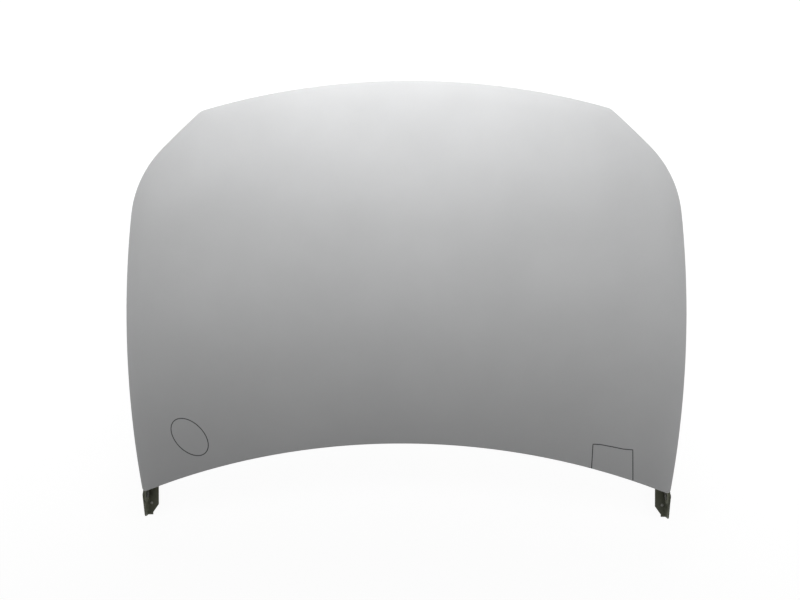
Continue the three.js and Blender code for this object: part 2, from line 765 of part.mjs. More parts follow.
// The angle at which a line touches a circle, from a point or along the same side of a smaller circle
function touching(circle, point, side) {
  const step = circle.r - (point.r ?? 0);
  return bearing(circle, point) + side * Math.acos(step / distance(circle, point));
}

// Hinge arm, in the frame of its pivot: a flange under the pad and a web down to the pivot
const armTop = hingePad.z - innerThickness - fitGap - pivot.z;
const flangeRear = hingePad.y - padLength / 2 - pivot.y;
const flangeFront = flangeRear + padLength;

function hingeArm() {
  const flatLength = pivot.x - hingePad.x + armEdge;
  const angle = alongY(bendSection(flatLength, armWebFront), flangeRear, flangeFront).translate(0, 0, armTop);
  const end = { x: 0, y: 0, r: armEndRadius };
  const above = flat(flangeRear, armTop - bendRadius);
  const below = flat(flangeRear, armTop - armWebRear);
  const web = new THREE.Shape([
    flat(flangeFront, armTop - bendRadius),
    above,
    ...arc(end, touching(end, above, 1), touching(end, below, -1) + 2 * Math.PI, roundSteps / 2),
    onCircle(end, touching(end, below, -1)),
    below,
    flat(flangeFront, armTop - armWebFront),
  ]);
  const eye = new THREE.Shape(arc({ x: 0, y: 0, r: rivetRadius + fitGap }, 0, 2 * Math.PI, roundSteps));
  const holes = boltYs.map((y) =>
    drill(hingePad.x - pivot.x, y - pivot.y, armTop - bendRadius, armTop + bendRadius, boltRadius + fitGap),
  );
  const arm = joined(angle, alongX(web, -plateThickness, 0));
  return cut(arm, alongX(eye, -bendRadius, bendRadius), ...holes);
}

// Hinge bracket, in the same frame: an upright ear outside the arm and a foot that is bolted to the body
const earInner = washerThickness + 2 * fitGap;
const earOuter = earInner + plateThickness;
const footBottom = -pivot.z;
const footMiddle = earOuter - footWidth / 2;
const footHoles = [footHoleForward, footHoleForward + footHolePitch].map((y) => flat(footMiddle, y));

function hingeBracket() {
  const section = bendSection(footWidth / 2, bendRadius + plateThickness);
  const turnedOver = mirrored(alongY(section, -footRear, earLength).rotateY(Math.PI));
  const bend = turnedOver.translate(earOuter, 0, footBottom);
  const [inner, outer] = [earOuter - footWidth, earOuter - bendRadius];
  const outlinePoints = roundedRing(
    [
      flat(inner + footCutAcross, -footRear),
      flat(outer, -footRear),
      flat(outer, footFront),
      flat(inner, footFront),
      flat(inner, footCutAlong - footRear),
    ],
    footCornerRadius,
    0,
  );
  const foot = upwards(new THREE.Shape(outlinePoints), footBottom, footBottom + plateThickness);
  const end = { x: 0, y: 0, r: earRadius };
  const tail = { x: tailRadius - footRear, y: footBottom + tailHeight - tailRadius, r: tailRadius };
  const ahead = flat(earLength, footBottom + bendRadius);
  const falling = touching(end, tail, -1) + 2 * Math.PI;
  const ear = new THREE.Shape([
    flat(-footRear, footBottom + bendRadius),
    ahead,
    ...arc(end, touching(end, ahead, 1), falling, roundSteps / 2),
    onCircle(end, falling),
    ...arc(tail, falling, Math.PI, cornerSteps),
    onCircle(tail, Math.PI),
  ]);
  const eye = new THREE.Shape(arc({ x: 0, y: 0, r: rivetRadius + fitGap }, 0, 2 * Math.PI, roundSteps));
  const through = (x, y, radius) => drill(x, y, footBottom - drillReach, footBottom + bendRadius, radius);
  const holes = footHoles.map(({ x, y }) => through(x, y, footHoleRadius));
  const [pipX, footTop] = [earOuter - pipAcross, footBottom + plateThickness];
  const pip = turned([
    [0, footTop - pipRise],
    [pipRadius, footTop - pipRise],
    [pipRadius, footTop],
    [pipRadius - pipRise, footTop + pipRise],
    [0, footTop + pipRise],
  ]).translate(pipX, -pipBack, 0);
  const dent = drill(pipX, -pipBack, footBottom - drillReach, footBottom + pipRise, pipRadius - pipRise);
  const body = joined(bend, foot, pip, alongX(ear, earInner, earOuter));
  return cut(body, alongX(eye, earInner - drillReach, earOuter + drillReach), dent, ...holes);
}

// Rivet of the hinge, its axis along X and its outer head outside the ear
function hingeRivet() {
  const [outer, inner] = [earOuter + fitGap, -plateThickness - fitGap];
  const edgeHeight = rivetHeadHeight / 2;
  const profile = [
    [0, inner - rivetHeadHeight],
    [rivetHeadRadius - edgeHeight, inner - rivetHeadHeight],
    [rivetHeadRadius, inner - edgeHeight],
    [rivetHeadRadius, inner],
    [rivetRadius, inner],
    [rivetRadius, outer],
    [rivetHeadRadius, outer],
    [rivetHeadRadius, outer + edgeHeight],
    [rivetHeadRadius - edgeHeight, outer + rivetHeadHeight],
    [0, outer + rivetHeadHeight],
  ];
  return turned(profile).rotateY(quarter);
}

function hingeWasher() {
  const bore = rivetRadius + fitGap;
  const [from, to] = [fitGap, fitGap + washerThickness];
  const profile = [
    [bore, from],
    [washerRadius, from],
    [washerRadius, to],
    [bore, to],
    [bore, from],
  ];
  return turned(profile).rotateY(quarter);
}

// Striker wire: a round bar bent to a U, its legs up through the plate
function strikerWire() {
  const bottom = -strikerPlateThickness - wireDrop + wireRadius;
  const y = wireSpan / 2;
  const corner = (side) => new THREE.Vector3(0, side * y, bottom);
  const down = (side) => new THREE.Vector3(0, side * y, bottom + wireBend);
  const along = (side) => new THREE.Vector3(0, side * (y - wireBend), bottom);
  const path = new THREE.CurvePath();
  path.add(new THREE.LineCurve3(new THREE.Vector3(0, -y, 0), down(-1)));
  path.add(new THREE.QuadraticBezierCurve3(down(-1), corner(-1), along(-1)));
  path.add(new THREE.LineCurve3(along(-1), along(1)));
  path.add(new THREE.QuadraticBezierCurve3(along(1), corner(1), down(1)));
  path.add(new THREE.LineCurve3(down(1), new THREE.Vector3(0, y, 0)));
  const section = new THREE.Shape(arc({ x: 0, y: 0, r: wireRadius }, 0, 2 * Math.PI, roundSteps / 2));
  return new THREE.ExtrudeGeometry(section, { steps: roundSteps, extrudePath: path, bevelEnabled: false });
}

// Rubber buffer, the seat of its head at z = 0 and its stem upwards
function buffer() {
  return turned([
    [0, -bufferHeight],
    [bufferTipRadius, -bufferHeight],
    [bufferRadius, -bufferWaist],
    [bufferRadius, 0],
    [bufferStemRadius, 0],
    [bufferStemRadius, bufferStemHeight],
    [0, bufferStemHeight],
  ]);
}

// Materials
function finish(color, metalness, roughness) {
  return new THREE.MeshStandardMaterial({ color, metalness, roughness });
}

const paints = {
  skin: () => finish(0xb4b7ba, 0.6, 0.35),
  inner: () => finish(0xa3a7aa, 0.5, 0.5),
  zinc: () => finish(0x9a9d9c, 0.9, 0.45),
  hinge: () => finish(0x2b2c28, 0.3, 0.6),
  steel: () => finish(0x8a8c8e, 0.9, 0.4),
  rubber: () => finish(0x1b1b1c, 0, 0.85),
  mastic: () => finish(0x3a3b3d, 0, 0.9),
};

const bonnet = new THREE.Group();

function add(name, geometry, paint, x = 0, y = 0, z = 0) {
  const mesh = new THREE.Mesh(geometry, paints[paint]());
  mesh.name = name;
  mesh.position.set(x, y, z);
  bonnet.add(mesh);
  return mesh;
}

// A piece on the right and its mirror image on the left
function addPair(name, geometry, paint, x, y, z) {
  add(`${name}_right`, geometry, paint, x, y, z);
  add(`${name}_left`, mirrored(geometry), paint, -x, y, z);
}

add("outer_skin", outerSkin(), "skin");
add("inner_panel", innerPanel(), "inner");

// Hinges
const padHoles = boltYs.map((y) => ({ x: 0, y: y - hingePad.y, r: boltRadius }));
const hingePlate = drilledPlate(
  padWidth - 2 * reinforcementMargin,
  padLength - 2 * reinforcementMargin,
  reinforcementThickness,
  padHoles,
);
const hingeBolt = bolt({
  radius: boltRadius,
  across: boltAcross,
  head: boltHeadHeight,
  flangeRadius: boltFlangeRadius,
  flange: boltFlangeThickness,
  length: boltLength,
});
const boltSeat = pivot.z + armTop - plateThickness - fitGap;
const nutSeat = hingePad.z + 2 * fitGap + reinforcementThickness;
addPair("hinge_reinforcement", hingePlate, "zinc", hingePad.x, hingePad.y, hingePad.z + fitGap);
addPair("hinge_arm", hingeArm(), "hinge", ...pivot);
addPair("hinge_bracket", hingeBracket(), "hinge", ...pivot);
addPair("hinge_rivet", hingeRivet(), "steel", ...pivot);
addPair("hinge_washer", hingeWasher(), "steel", ...pivot);
["rear", "front"].forEach((end, i) => {
  addPair(`hinge_bolt_${end}`, hingeBolt, "zinc", hingePad.x, boltYs[i], boltSeat);
  addPair(`hinge_nut_${end}`, nut(boltAcross, nutHeight, boltRadius), "zinc", hingePad.x, boltYs[i], nutSeat);
});

// Latch striker
const strikerHoles = strikerBoltXs.map((x) => ({ x, y: 0, r: strikerBoltRadius }));
const wireHoles = [-wireSpan / 2, wireSpan / 2].map((y) => ({ x: 0, y, r: wireRadius }));
const plateTop = latch.z - innerThickness - fitGap;
const latchPlate = drilledPlate(
  latchPadLength - 2 * reinforcementMargin,
  latchPadWidth - 2 * reinforcementMargin,
  latchReinforcementThickness,
  strikerHoles,
);
const strikerPlate = drilledPlate(strikerPlateLength, strikerPlateWidth, strikerPlateThickness, [
  ...strikerHoles,
  ...wireHoles,
]);
const strikerBolt = bolt({
  radius: strikerBoltRadius,
  across: strikerBoltAcross,
  head: strikerBoltHeight,
  flangeRadius: strikerBoltFlangeRadius,
  flange: strikerBoltFlange,
  length: strikerBoltLength,
});
const strikerBoltSeat = plateTop - strikerPlateThickness - fitGap;
const strikerNutSeat = latch.z + 2 * fitGap + latchReinforcementThickness;
add("latch_reinforcement", latchPlate, "zinc", latch.x, latch.y, latch.z + fitGap);
add("striker_plate", strikerPlate, "zinc", latch.x, latch.y, plateTop - strikerPlateThickness);
add("striker_wire", strikerWire(), "steel", latch.x, latch.y, plateTop);
const strikerNut = nut(strikerBoltAcross, strikerNutHeight, strikerBoltRadius);
addPair("striker_bolt", strikerBolt, "zinc", strikerBoltPitch / 2, latch.y, strikerBoltSeat);
addPair("striker_nut", strikerNut, "zinc", strikerBoltPitch / 2, latch.y, strikerNutSeat);

// Buffers
["nose", "side"].forEach((place, i) => {
  const { x, y, z } = bufferPads[i];
  addPair(`${place}_buffer`, buffer(), "rubber", x, y, z - innerThickness - fitGap);
});

// Mastic beads between the window flanges and the skin
const masticHeight = flangeDepth - skinThickness - 2 * masticGap;
let beads = 0;
for (const polygon of openings) {
  for (const k of [0, Math.ceil(polygon.length / 2)]) {
    const [from, to] = [polygon[k], polygon[(k + 1) % polygon.length]];
    const facing = onCircle({ x: 0, y: 0, r: flangeWidth / 2 }, bearing(from, to) - quarter);
    const place = from.clone().lerp(to, 0.5).add(facing);
    const bead = add(`mastic_bead_${(beads += 1)}`, drill(0, 0, 0, masticHeight, masticRadius), "mastic");
    bead.position.copy(under(place.x, place.y, flangeDepth - masticGap));
    bead.quaternion.setFromUnitVectors(new THREE.Vector3(0, 0, 1), skinNormal(place.x, place.y));
  }
}

// The origin is on the floor, under the middle of the whole
const box = new THREE.Box3().setFromObject(bonnet);
const middlePoint = box.getCenter(new THREE.Vector3());
bonnet.position.set(-middlePoint.x, -middlePoint.y, -box.min.z);

export default bonnet;
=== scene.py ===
"""A car bonnet in silver metallic paint, seen from straight above on a white floor."""

import math

import bpy
import numpy as np
from mathutils import Matrix, Vector
from mathutils.geometry import delaunay_2d_cdt


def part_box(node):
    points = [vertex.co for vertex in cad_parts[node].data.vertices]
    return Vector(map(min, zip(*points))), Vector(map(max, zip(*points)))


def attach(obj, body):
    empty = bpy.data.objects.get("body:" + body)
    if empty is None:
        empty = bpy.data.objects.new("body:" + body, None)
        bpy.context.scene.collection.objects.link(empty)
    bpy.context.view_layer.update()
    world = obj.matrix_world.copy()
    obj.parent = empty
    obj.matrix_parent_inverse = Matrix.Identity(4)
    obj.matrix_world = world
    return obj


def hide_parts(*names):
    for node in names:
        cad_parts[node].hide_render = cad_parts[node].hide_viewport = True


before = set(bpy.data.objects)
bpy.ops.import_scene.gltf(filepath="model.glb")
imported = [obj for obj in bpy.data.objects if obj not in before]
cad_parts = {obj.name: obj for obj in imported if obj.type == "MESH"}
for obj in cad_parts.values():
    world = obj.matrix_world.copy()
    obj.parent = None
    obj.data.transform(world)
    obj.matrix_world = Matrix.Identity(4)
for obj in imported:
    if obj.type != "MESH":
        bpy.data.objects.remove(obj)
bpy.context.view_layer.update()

# Sizes in millimetres, with y = 0 at the middle of the rear edge
WIDTH = 1445
WIDEST_Y = 353
NOSE_Y = 935
REAR_RADIUS = 1714
SIDE_RADIUS = 2774
LAMP_RADIUS = 6174
LAMP_POINT = (600, 795.3)
LAMP_BEARING = 43.4
NOSE_RADIUS = 1932
SHOULDER_RADIUS = 288
NOSE_CORNER_RADIUS = 36
REAR_CORNER_RADIUS = 9
CORNER_SPREAD = 0.6

# Crown of the skin
CROWN_Y = 120
LENGTH_RADIUS = 5000
NOSE_BEND_Y = 560
NOSE_BEND_RADIUS = 900
WIDTH_RADIUS = 4600
SIDE_FALL = 20
ROLL_WIDTH = 52
ROLL_RADIUS = 180

# Sheets and their hem
SKIN = 0.8
INNER = 0.7
FIT = 0.3
HEM_WIDTH = 11
HEM_LIP = 4
HEM_FOLD_GAP = 2.2
HEM_RADIUS = SKIN + FIT + INNER / 2
SEAT_DEPTH = SKIN + FIT

# Inner panel
SEAT_WIDTH = 13.5
RIM_WIDTH = 27
FLOOR_DEPTH = 24
FLANGE_DEPTH = 5
FLANGE_WIDTH = 14
WINDOW_WALL = 16
WINDOW_RADIUS = 40
EDGE_BOW = 0.008
REAR_BEAM = 95
SIDE_BEAM = 100
NOSE_BEAM = 190
RIB_WIDTH = 100
CROSS_RIB_Y = 468
RIB_REAR_X = 240
RIB_FRONT_X = 92
GUSSET_ACROSS = 85
GUSSET_ALONG = 137
PAD_INSET = 56
PAD_FORWARD = 126
PAD_LENGTH = 124
PAD_WIDTH = 30
PAD_DEPTH = 38
PAD_WALL = 6
PAD_CORNER = 8
BOLT_PITCH = 62
BOLT_RADIUS = 4
LATCH_BACK = 102
LATCH_DEPTH = 24
LATCH_PAD_LENGTH = 124
LATCH_PAD_WIDTH = 62
LATCH_WALL = 14
STRIKER_BOLT_PITCH = 74
STRIKER_BOLT_RADIUS = 3
STRIKER_WIRE_SPAN = 34
STRIKER_WIRE_RADIUS = 4
STRIKER_WIRE_BEND = 11
BUFFER_STEM_RADIUS = 4.5
BOLT_HEAD = {"across": 13, "head": 5.5, "flange": 1.6, "flange_radius": 8.5, "length": 18, "pitch": 1.25}
STRIKER_BOLT_HEAD = {"across": 10, "head": 4, "flange": 1.2, "flange_radius": 6.5, "length": 14, "pitch": 1}
RIVET_RADIUS = 5
RIVET_HEAD_RADIUS = 9
RIVET_HEAD = 4
WASHER_RADIUS = 13
WASHER = 1
STRIKER_PLATE = 3
BEAD_RADIUS = 6.5
BEAD_HEIGHT = 2.6
BUFFER_PAD_RADIUS = 13
BUFFER_PAD_DROP = 3
BUFFER_PAD_WALL = 5
NOSE_BUFFER = (468, 772)
SIDE_BUFFER_INSET = 58

# Shallow grooves pressed into its beams and ribs
GROOVE_DEPTH = 2.2
GROOVE_WIDTH = 20
GROOVE_INSET = 48.5
GROOVE_GAP = 6
RIB_GROOVE_ENDS = (128, 712)
CROSS_GROOVE_END = 560
SIDE_GROOVES = [(160, 405), (531, 640)]
REAR_GROOVE_REACH = 500

# Steps of the fine meshes
STEPS = {"rear": 40, "corner": 12, "side": 36, "shoulder": 20, "lamp": 16, "nose": 26}
FOLD_STEPS = 12
ROLL_STEPS = 9
WALL_STEPS = 8
WALL_FILLET = 0.34
BEND_STEPS = 10
RING_STEP = 12
FLOOR_STEP = 6.5
ROUND_STEPS = 32
SLOPE_STEP = 0.5
MM = 0.001

# Marks drawn on the paint
MARK_WIDTH = 2.5
MARK_LIFT = 0.08
OVAL_CENTRE = (-546.2, 9.5)
OVAL_SEMI = (57.5, 36.9)
OVAL_TURN = -41.4
FRAME_TOP = [(474.2, -4.3), (492.1, -5.4), (523.7, -11.8), (552.1, -18.3), (576.8, -20.9)]
FRAME_FEET = [(470.9, -65.2), (577.7, -98.2)]

QUARTER = math.pi / 2
HALF_WIDTH = WIDTH / 2


# Plan outline of the skin. A circle is (x, y, radius).
def bearing(start, end):
    return math.atan2(end[1] - start[1], end[0] - start[0])


def distance(a, b):
    return math.hypot(b[0] - a[0], b[1] - a[1])


def grown(circle, by):
    return circle[0], circle[1], circle[2] + by


def on_circle(circle, angle):
    angle = np.asarray(angle, float)
    return np.stack([circle[0] + circle[2] * np.cos(angle), circle[1] + circle[2] * np.sin(angle)], -1)


def arc(circle, start, end, count):
    return on_circle(circle, start + (end - start) * np.arange(count) / count)


def crossing(a, b, side):
    """Where two circles cross: to the right of the way from a to b, or to its left with a side of -1."""
    apart = distance(a, b)
    along = (apart**2 + a[2] ** 2 - b[2] ** 2) / (2 * apart)
    across = side * math.sqrt(a[2] ** 2 - along**2)
    way = bearing(a, b)
    return (
        a[0] + along * math.cos(way) + across * math.sin(way),
        a[1] + along * math.sin(way) - across * math.cos(way),
    )


def borders(inset):
    """The four circles of the outline on the right, moved in."""
    facing = math.radians(LAMP_BEARING)
    lamp_x = LAMP_POINT[0] - LAMP_RADIUS * math.cos(facing)
    lamp_y = LAMP_POINT[1] - LAMP_RADIUS * math.sin(facing)
    return {
        "rear": (0, -REAR_RADIUS, REAR_RADIUS + inset),
        "side": (HALF_WIDTH - SIDE_RADIUS, WIDEST_Y, SIDE_RADIUS - inset),
        "lamp": (lamp_x, lamp_y, LAMP_RADIUS - inset),
        "nose": (0, NOSE_Y - NOSE_RADIUS, NOSE_RADIUS - inset),
    }


def corners(inset):
    """The circles that round the corners between them."""
    edge = borders(inset)
    rear_r, shoulder_r, nose_r = (
        max(radius - inset, CORNER_SPREAD * inset)
        for radius in (REAR_CORNER_RADIUS, SHOULDER_RADIUS, NOSE_CORNER_RADIUS)
    )
    rear = crossing(grown(edge["rear"], rear_r), grown(edge["side"], -rear_r), 1)
    shoulder = crossing(grown(edge["side"], -shoulder_r), grown(edge["lamp"], -shoulder_r), -1)
    nose = crossing(grown(edge["lamp"], -nose_r), grown(edge["nose"], -nose_r), -1)
    return {"rear": (*rear, rear_r), "shoulder": (*shoulder, shoulder_r), "nose": (*nose, nose_r)}


def outline(inset):
    """The outline moved in, as a ring from the middle of the rear edge round by the right."""
    edge, round_ = borders(inset), corners(inset)
    rear, side, lamp, nose = (edge[name] for name in ("rear", "side", "lamp", "nose"))
    rear_c, shoulder_c, nose_c = (round_[name] for name in ("rear", "shoulder", "nose"))
    right = np.concatenate([
        arc(rear, QUARTER, bearing(rear, rear_c), STEPS["rear"]),
        arc(rear_c, bearing(rear_c, rear), bearing(side, rear_c), STEPS["corner"]),
        arc(side, bearing(side, rear_c), bearing(side, shoulder_c), STEPS["side"]),
        arc(shoulder_c, bearing(side, shoulder_c), bearing(lamp, shoulder_c), STEPS["shoulder"]),
        arc(lamp, bearing(lamp, shoulder_c), bearing(lamp, nose_c), STEPS["lamp"]),
        arc(nose_c, bearing(lamp, nose_c), bearing(nose, nose_c), STEPS["corner"]),
        arc(nose, bearing(nose, nose_c), QUARTER, STEPS["nose"]),
        on_circle(nose, [QUARTER]),
    ])
    left = right[1:-1][::-1] * (-1, 1)
    return np.concatenate([right, left])


EDGE = borders(0)
EDGE_CORNERS = corners(0)


def inset_at(x, y):
    """How far points lie inside the sides and the nose."""
    x = np.abs(x)
    circles = (EDGE[name] for name in ("side", "lamp", "nose"))
    inset = np.min([r - np.hypot(x - cx, y - cy) for cx, cy, r in circles], axis=0)
    for before, corner, after in (("lamp", "nose", "nose"), ("side", "shoulder", "lamp")):
        cx, cy, r = EDGE_CORNERS[corner]
        way = np.arctan2(y - cy, x - cx)
        first = bearing(EDGE[before], EDGE_CORNERS[corner])
        last = bearing(EDGE[after], EDGE_CORNERS[corner])
        inset = np.where((way > first) & (way < last), r - np.hypot(x - cx, y - cy), inset)
    return inset


# Height of the skin
def fall(x, y):
    """How far the skin lies below the crown, as a negative height."""
    bend = np.maximum(0, y - NOSE_BEND_Y)
    roll = np.maximum(0, ROLL_WIDTH - inset_at(x, y))
    lengthwise = (y - CROWN_Y) ** 2 / (2 * LENGTH_RADIUS) + bend**2 / (2 * NOSE_BEND_RADIUS)
    across = x**2 / (2 * WIDTH_RADIUS) + SIDE_FALL * (x / HALF_WIDTH) ** 4
    return -(lengthwise + across + roll**2 / (2 * ROLL_RADIUS))


def skin_normal(x, y):
    slope_x = (fall(x + SLOPE_STEP, y) - fall(x - SLOPE_STEP, y)) / (2 * SLOPE_STEP)
    slope_y = (fall(x, y + SLOPE_STEP) - fall(x, y - SLOPE_STEP)) / (2 * SLOPE_STEP)
    normal = np.stack([-slope_x, -slope_y, np.ones_like(slope_x)], -1)
    return normal / np.linalg.norm(normal, axis=-1, keepdims=True)


def below_crown(xy, depth):
    """Points at a depth square to the skin, measured from the height of the crown."""
    x, y = np.asarray(xy, float).T
    depth = np.broadcast_to(np.asarray(depth, float), x.shape)
    return np.stack([x, y, fall(x, y)], -1) - skin_normal(x, y) * depth[:, None]


def fold(turn, radius):
    """Inset and depth of a place round the fold of the hem, from -1 at the top to 1 below."""
    return HEM_RADIUS - radius * math.cos(turn * QUARTER), HEM_RADIUS + radius * math.sin(turn * QUARTER)


TURNS = np.linspace(-1, 1, FOLD_STEPS + 1)
NOSE_FOLD = [
    below_crown([(0, NOSE_Y - inset)], depth)[0]
    for inset, depth in (fold(turn, HEM_RADIUS) for turn in TURNS)
]
CROWN_HEIGHT = -min(point[2] for point in NOSE_FOLD)
NOSE_REACH = max(point[1] for point in NOSE_FOLD)


def under(xy, depth):
    """Points at a depth below the top of the skin, square to it."""
    return below_crown(xy, depth) + (0, 0, CROWN_HEIGHT)


def start_over(xy, depth):
    """Where on the skin to start, so that the point at a depth has the given x and y."""
    xy = np.asarray(xy, float)
    start = xy.copy()
    for _ in range(4):
        start = xy + skin_normal(start[:, 0], start[:, 1])[:, :2] * depth
    return start


def height_over(x, y):
    return float(fall(np.array([x]), np.array([y]))[0]) + CROWN_HEIGHT


SHIFT_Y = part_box("outer_skin")[1].y / MM - NOSE_REACH


def middle_of(node):
    low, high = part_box(node)
    return (low + high) / 2


def to_frame(points):
    """Millimetres from the middle of the rear edge, to metres in the frame."""
    return (np.asarray(points, float) + (0, SHIFT_Y, 0)) * MM


# Meshes
class Sheet:
    """Points and faces of one piece."""

    def __init__(self):
        self.points = []
        self.faces = []

    def ring(self, points):
        first = len(self.points)
        self.points.extend(map(tuple, np.asarray(points, float)))
        return list(range(first, len(self.points)))

    def strip(self, outer, inner, closed=True):
        count = len(outer)
        for i in range(count if closed else count - 1):
            j = (i + 1) % count
            self.faces.append((outer[i], outer[j], inner[j], inner[i]))

    def fan(self, ring, flipped=False):
        self.faces.append(tuple(reversed(ring)) if flipped else tuple(ring))


def piece(name, sheet, material, replaces=(), smooth=40, local=None):
    """A piece of the bonnet from a sheet in millimetres, placed in the frame or at a place of its own."""
    points = to_frame(sheet.points) if local is None else np.asarray(sheet.points, float) * MM
    mesh = bpy.data.meshes.new(name)
    mesh.from_pydata([tuple(p) for p in points], [], sheet.faces)
    mesh.validate()
    if local is not None:
        mesh.transform(local)
    mesh.polygons.foreach_set("use_smooth", [True] * len(mesh.polygons))
    mesh.set_sharp_from_angle(angle=math.radians(smooth))
    mesh.materials.append(material)
    mesh.update()
    made = bpy.data.objects.new(name, mesh)
    bpy.context.scene.collection.objects.link(made)
    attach(made, "bonnet")
    if replaces:
        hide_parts(*replaces)
    return made


def skin_grid(sheet, ring, depth, flipped):
    """The inside of a ring as a grid of rows that blend from side to side."""
    total = len(ring)
    corner = STEPS["rear"] + STEPS["corner"] // 2
    rows = STEPS["corner"] // 2 + STEPS["side"] + STEPS["shoulder"] + STEPS["lamp"] // 2
    columns = 2 * corner
    rear = [ring[(i - corner) % total] for i in range(columns + 1)]
    nose = [ring[(total - corner - rows - i) % total] for i in range(columns + 1)]
    right = [ring[(corner + j) % total] for j in range(rows + 1)]
    left = [ring[(-corner - j) % total] for j in range(rows + 1)]
    plan = outline(ROLL_WIDTH)
    edges = {name: plan[[ring.index(k) for k in side]] for name, side in
             (("rear", rear), ("nose", nose), ("right", right), ("left", left))}
    u = np.linspace(0, 1, columns + 1)[None, :, None]
    v = np.linspace(0, 1, rows + 1)[:, None, None]
    blend = (1 - v) * edges["rear"][None] + v * edges["nose"][None]
    blend = blend + (1 - u) * edges["left"][:, None] + u * edges["right"][:, None]
    blend = blend - (1 - u) * (1 - v) * edges["rear"][0] - u * (1 - v) * edges["rear"][-1]
    blend = blend - (1 - u) * v * edges["nose"][0] - u * v * edges["nose"][-1]
    inner = sheet.ring(under(blend[1:-1, 1:-1].reshape(-1, 2), depth))
    grid = np.empty((rows + 1, columns + 1), int)
    grid[0], grid[-1], grid[:, 0], grid[:, -1] = rear, nose, left, right
    grid[1:-1, 1:-1] = np.array(inner).reshape(rows - 1, columns - 1)
    for j in range(rows):
        for i in range(columns):
            face = (grid[j, i], grid[j, i + 1], grid[j + 1, i + 1], grid[j + 1, i])
            sheet.faces.append(tuple(int(k) for k in (reversed(face) if flipped else face)))


def skin_sheet():
    """The crowned panel, its edge folded back under itself all round, closed on its inner face."""
    roll = np.linspace(ROLL_WIDTH, 2 * HEM_RADIUS, ROLL_STEPS + 1)
    flange = [HEM_WIDTH - HEM_LIP, HEM_WIDTH]
    outer = [(inset, 0) for inset in roll]
    outer += [fold(turn, HEM_RADIUS) for turn in TURNS]
    outer += [(inset, 2 * HEM_RADIUS) for inset in flange]
    inner = [(inset, 2 * HEM_RADIUS - SKIN) for inset in reversed(flange)]
    inner += [fold(turn, HEM_RADIUS - SKIN) for turn in TURNS[::-1]]
    inner += [(inset, SKIN) for inset in roll[::-1]]
    sheet = Sheet()
    rings = [sheet.ring(under(outline(inset), depth)) for inset, depth in outer + inner]
    for near, far in zip(rings, rings[1:]):
        sheet.strip(far, near)
    skin_grid(sheet, rings[0], 0, False)
    skin_grid(sheet, rings[-1], SKIN, True)
    return sheet


# Places on the inner panel
CORNER_X, CORNER_Y, CORNER_RADIUS = EDGE_CORNERS["rear"]
REAR_CORNER = (CORNER_X + CORNER_RADIUS, CORNER_Y - CORNER_RADIUS)
HINGE_PAD = (REAR_CORNER[0] - PAD_INSET, REAR_CORNER[1] + PAD_FORWARD)
HINGE_PAD_Z = height_over(*HINGE_PAD) - PAD_DEPTH
LATCH = (0, NOSE_Y - LATCH_BACK)
LATCH_Z = height_over(*LATCH) - LATCH_DEPTH
SIDE_REACH = math.sqrt((EDGE["side"][2] - SIDE_BUFFER_INSET) ** 2 - (CROSS_RIB_Y - EDGE["side"][1]) ** 2)
BUFFER_PADS = [NOSE_BUFFER, (EDGE["side"][0] + SIDE_REACH, CROSS_RIB_Y)]


def buffer_pad_z(x, y):
    """Height of the flat pad round a buffer."""
    start = start_over([(x, y)], FLOOR_DEPTH)
    return under(start, FLOOR_DEPTH)[0][2] - BUFFER_PAD_DROP


def mirrored_ring(ring):
    """The ring on the other side, turned so that it runs the same way."""
    return (np.asarray(ring, float) * (-1, 1))[::-1]


def window_polygons():
    """The windows of the inner panel, as polygons on the skin."""
    lean = bearing((RIB_REAR_X, 0), (RIB_FRONT_X, NOSE_Y)) - QUARTER

    def on_rib(side, y):
        shift = side * RIB_WIDTH / 2 / math.cos(lean)
        return RIB_REAR_X + shift - y * math.tan(lean), y

    def rib_meets(side, circle):
        point = on_rib(side, 0)
        for _ in range(8):
            point = on_rib(side, circle[1] + math.sqrt(circle[2] ** 2 - point[0] ** 2))
        return point

    rear = borders(REAR_BEAM)["rear"]
    side = borders(SIDE_BEAM)["side"]
    nose = borders(NOSE_BEAM)["nose"]

    def on_side(y):
        return side[0] + math.sqrt(side[2] ** 2 - (y - side[1]) ** 2), y

    rib_rear, rib_front = CROSS_RIB_Y - RIB_WIDTH / 2, CROSS_RIB_Y + RIB_WIDTH / 2
    gusset_x = HINGE_PAD[0] - GUSSET_ACROSS
    gusset = (gusset_x, rear[1] + math.sqrt(rear[2] ** 2 - gusset_x**2))
    halves = [[rib_meets(-1, rear), on_rib(-1, rib_rear)], [on_rib(-1, rib_front), rib_meets(-1, nose)]]
    middle = [np.concatenate([half, mirrored_ring(half)]) for half in halves]
    hinge_side = on_side(HINGE_PAD[1] + GUSSET_ALONG)
    right = [
        np.array([rib_meets(1, rear), gusset, hinge_side, on_side(rib_rear), on_rib(1, rib_rear)]),
        np.array([on_rib(1, rib_front), on_side(rib_front), crossing(side, nose, -1), rib_meets(1, nose)]),
    ]
    return middle + right + [mirrored_ring(polygon) for polygon in right]


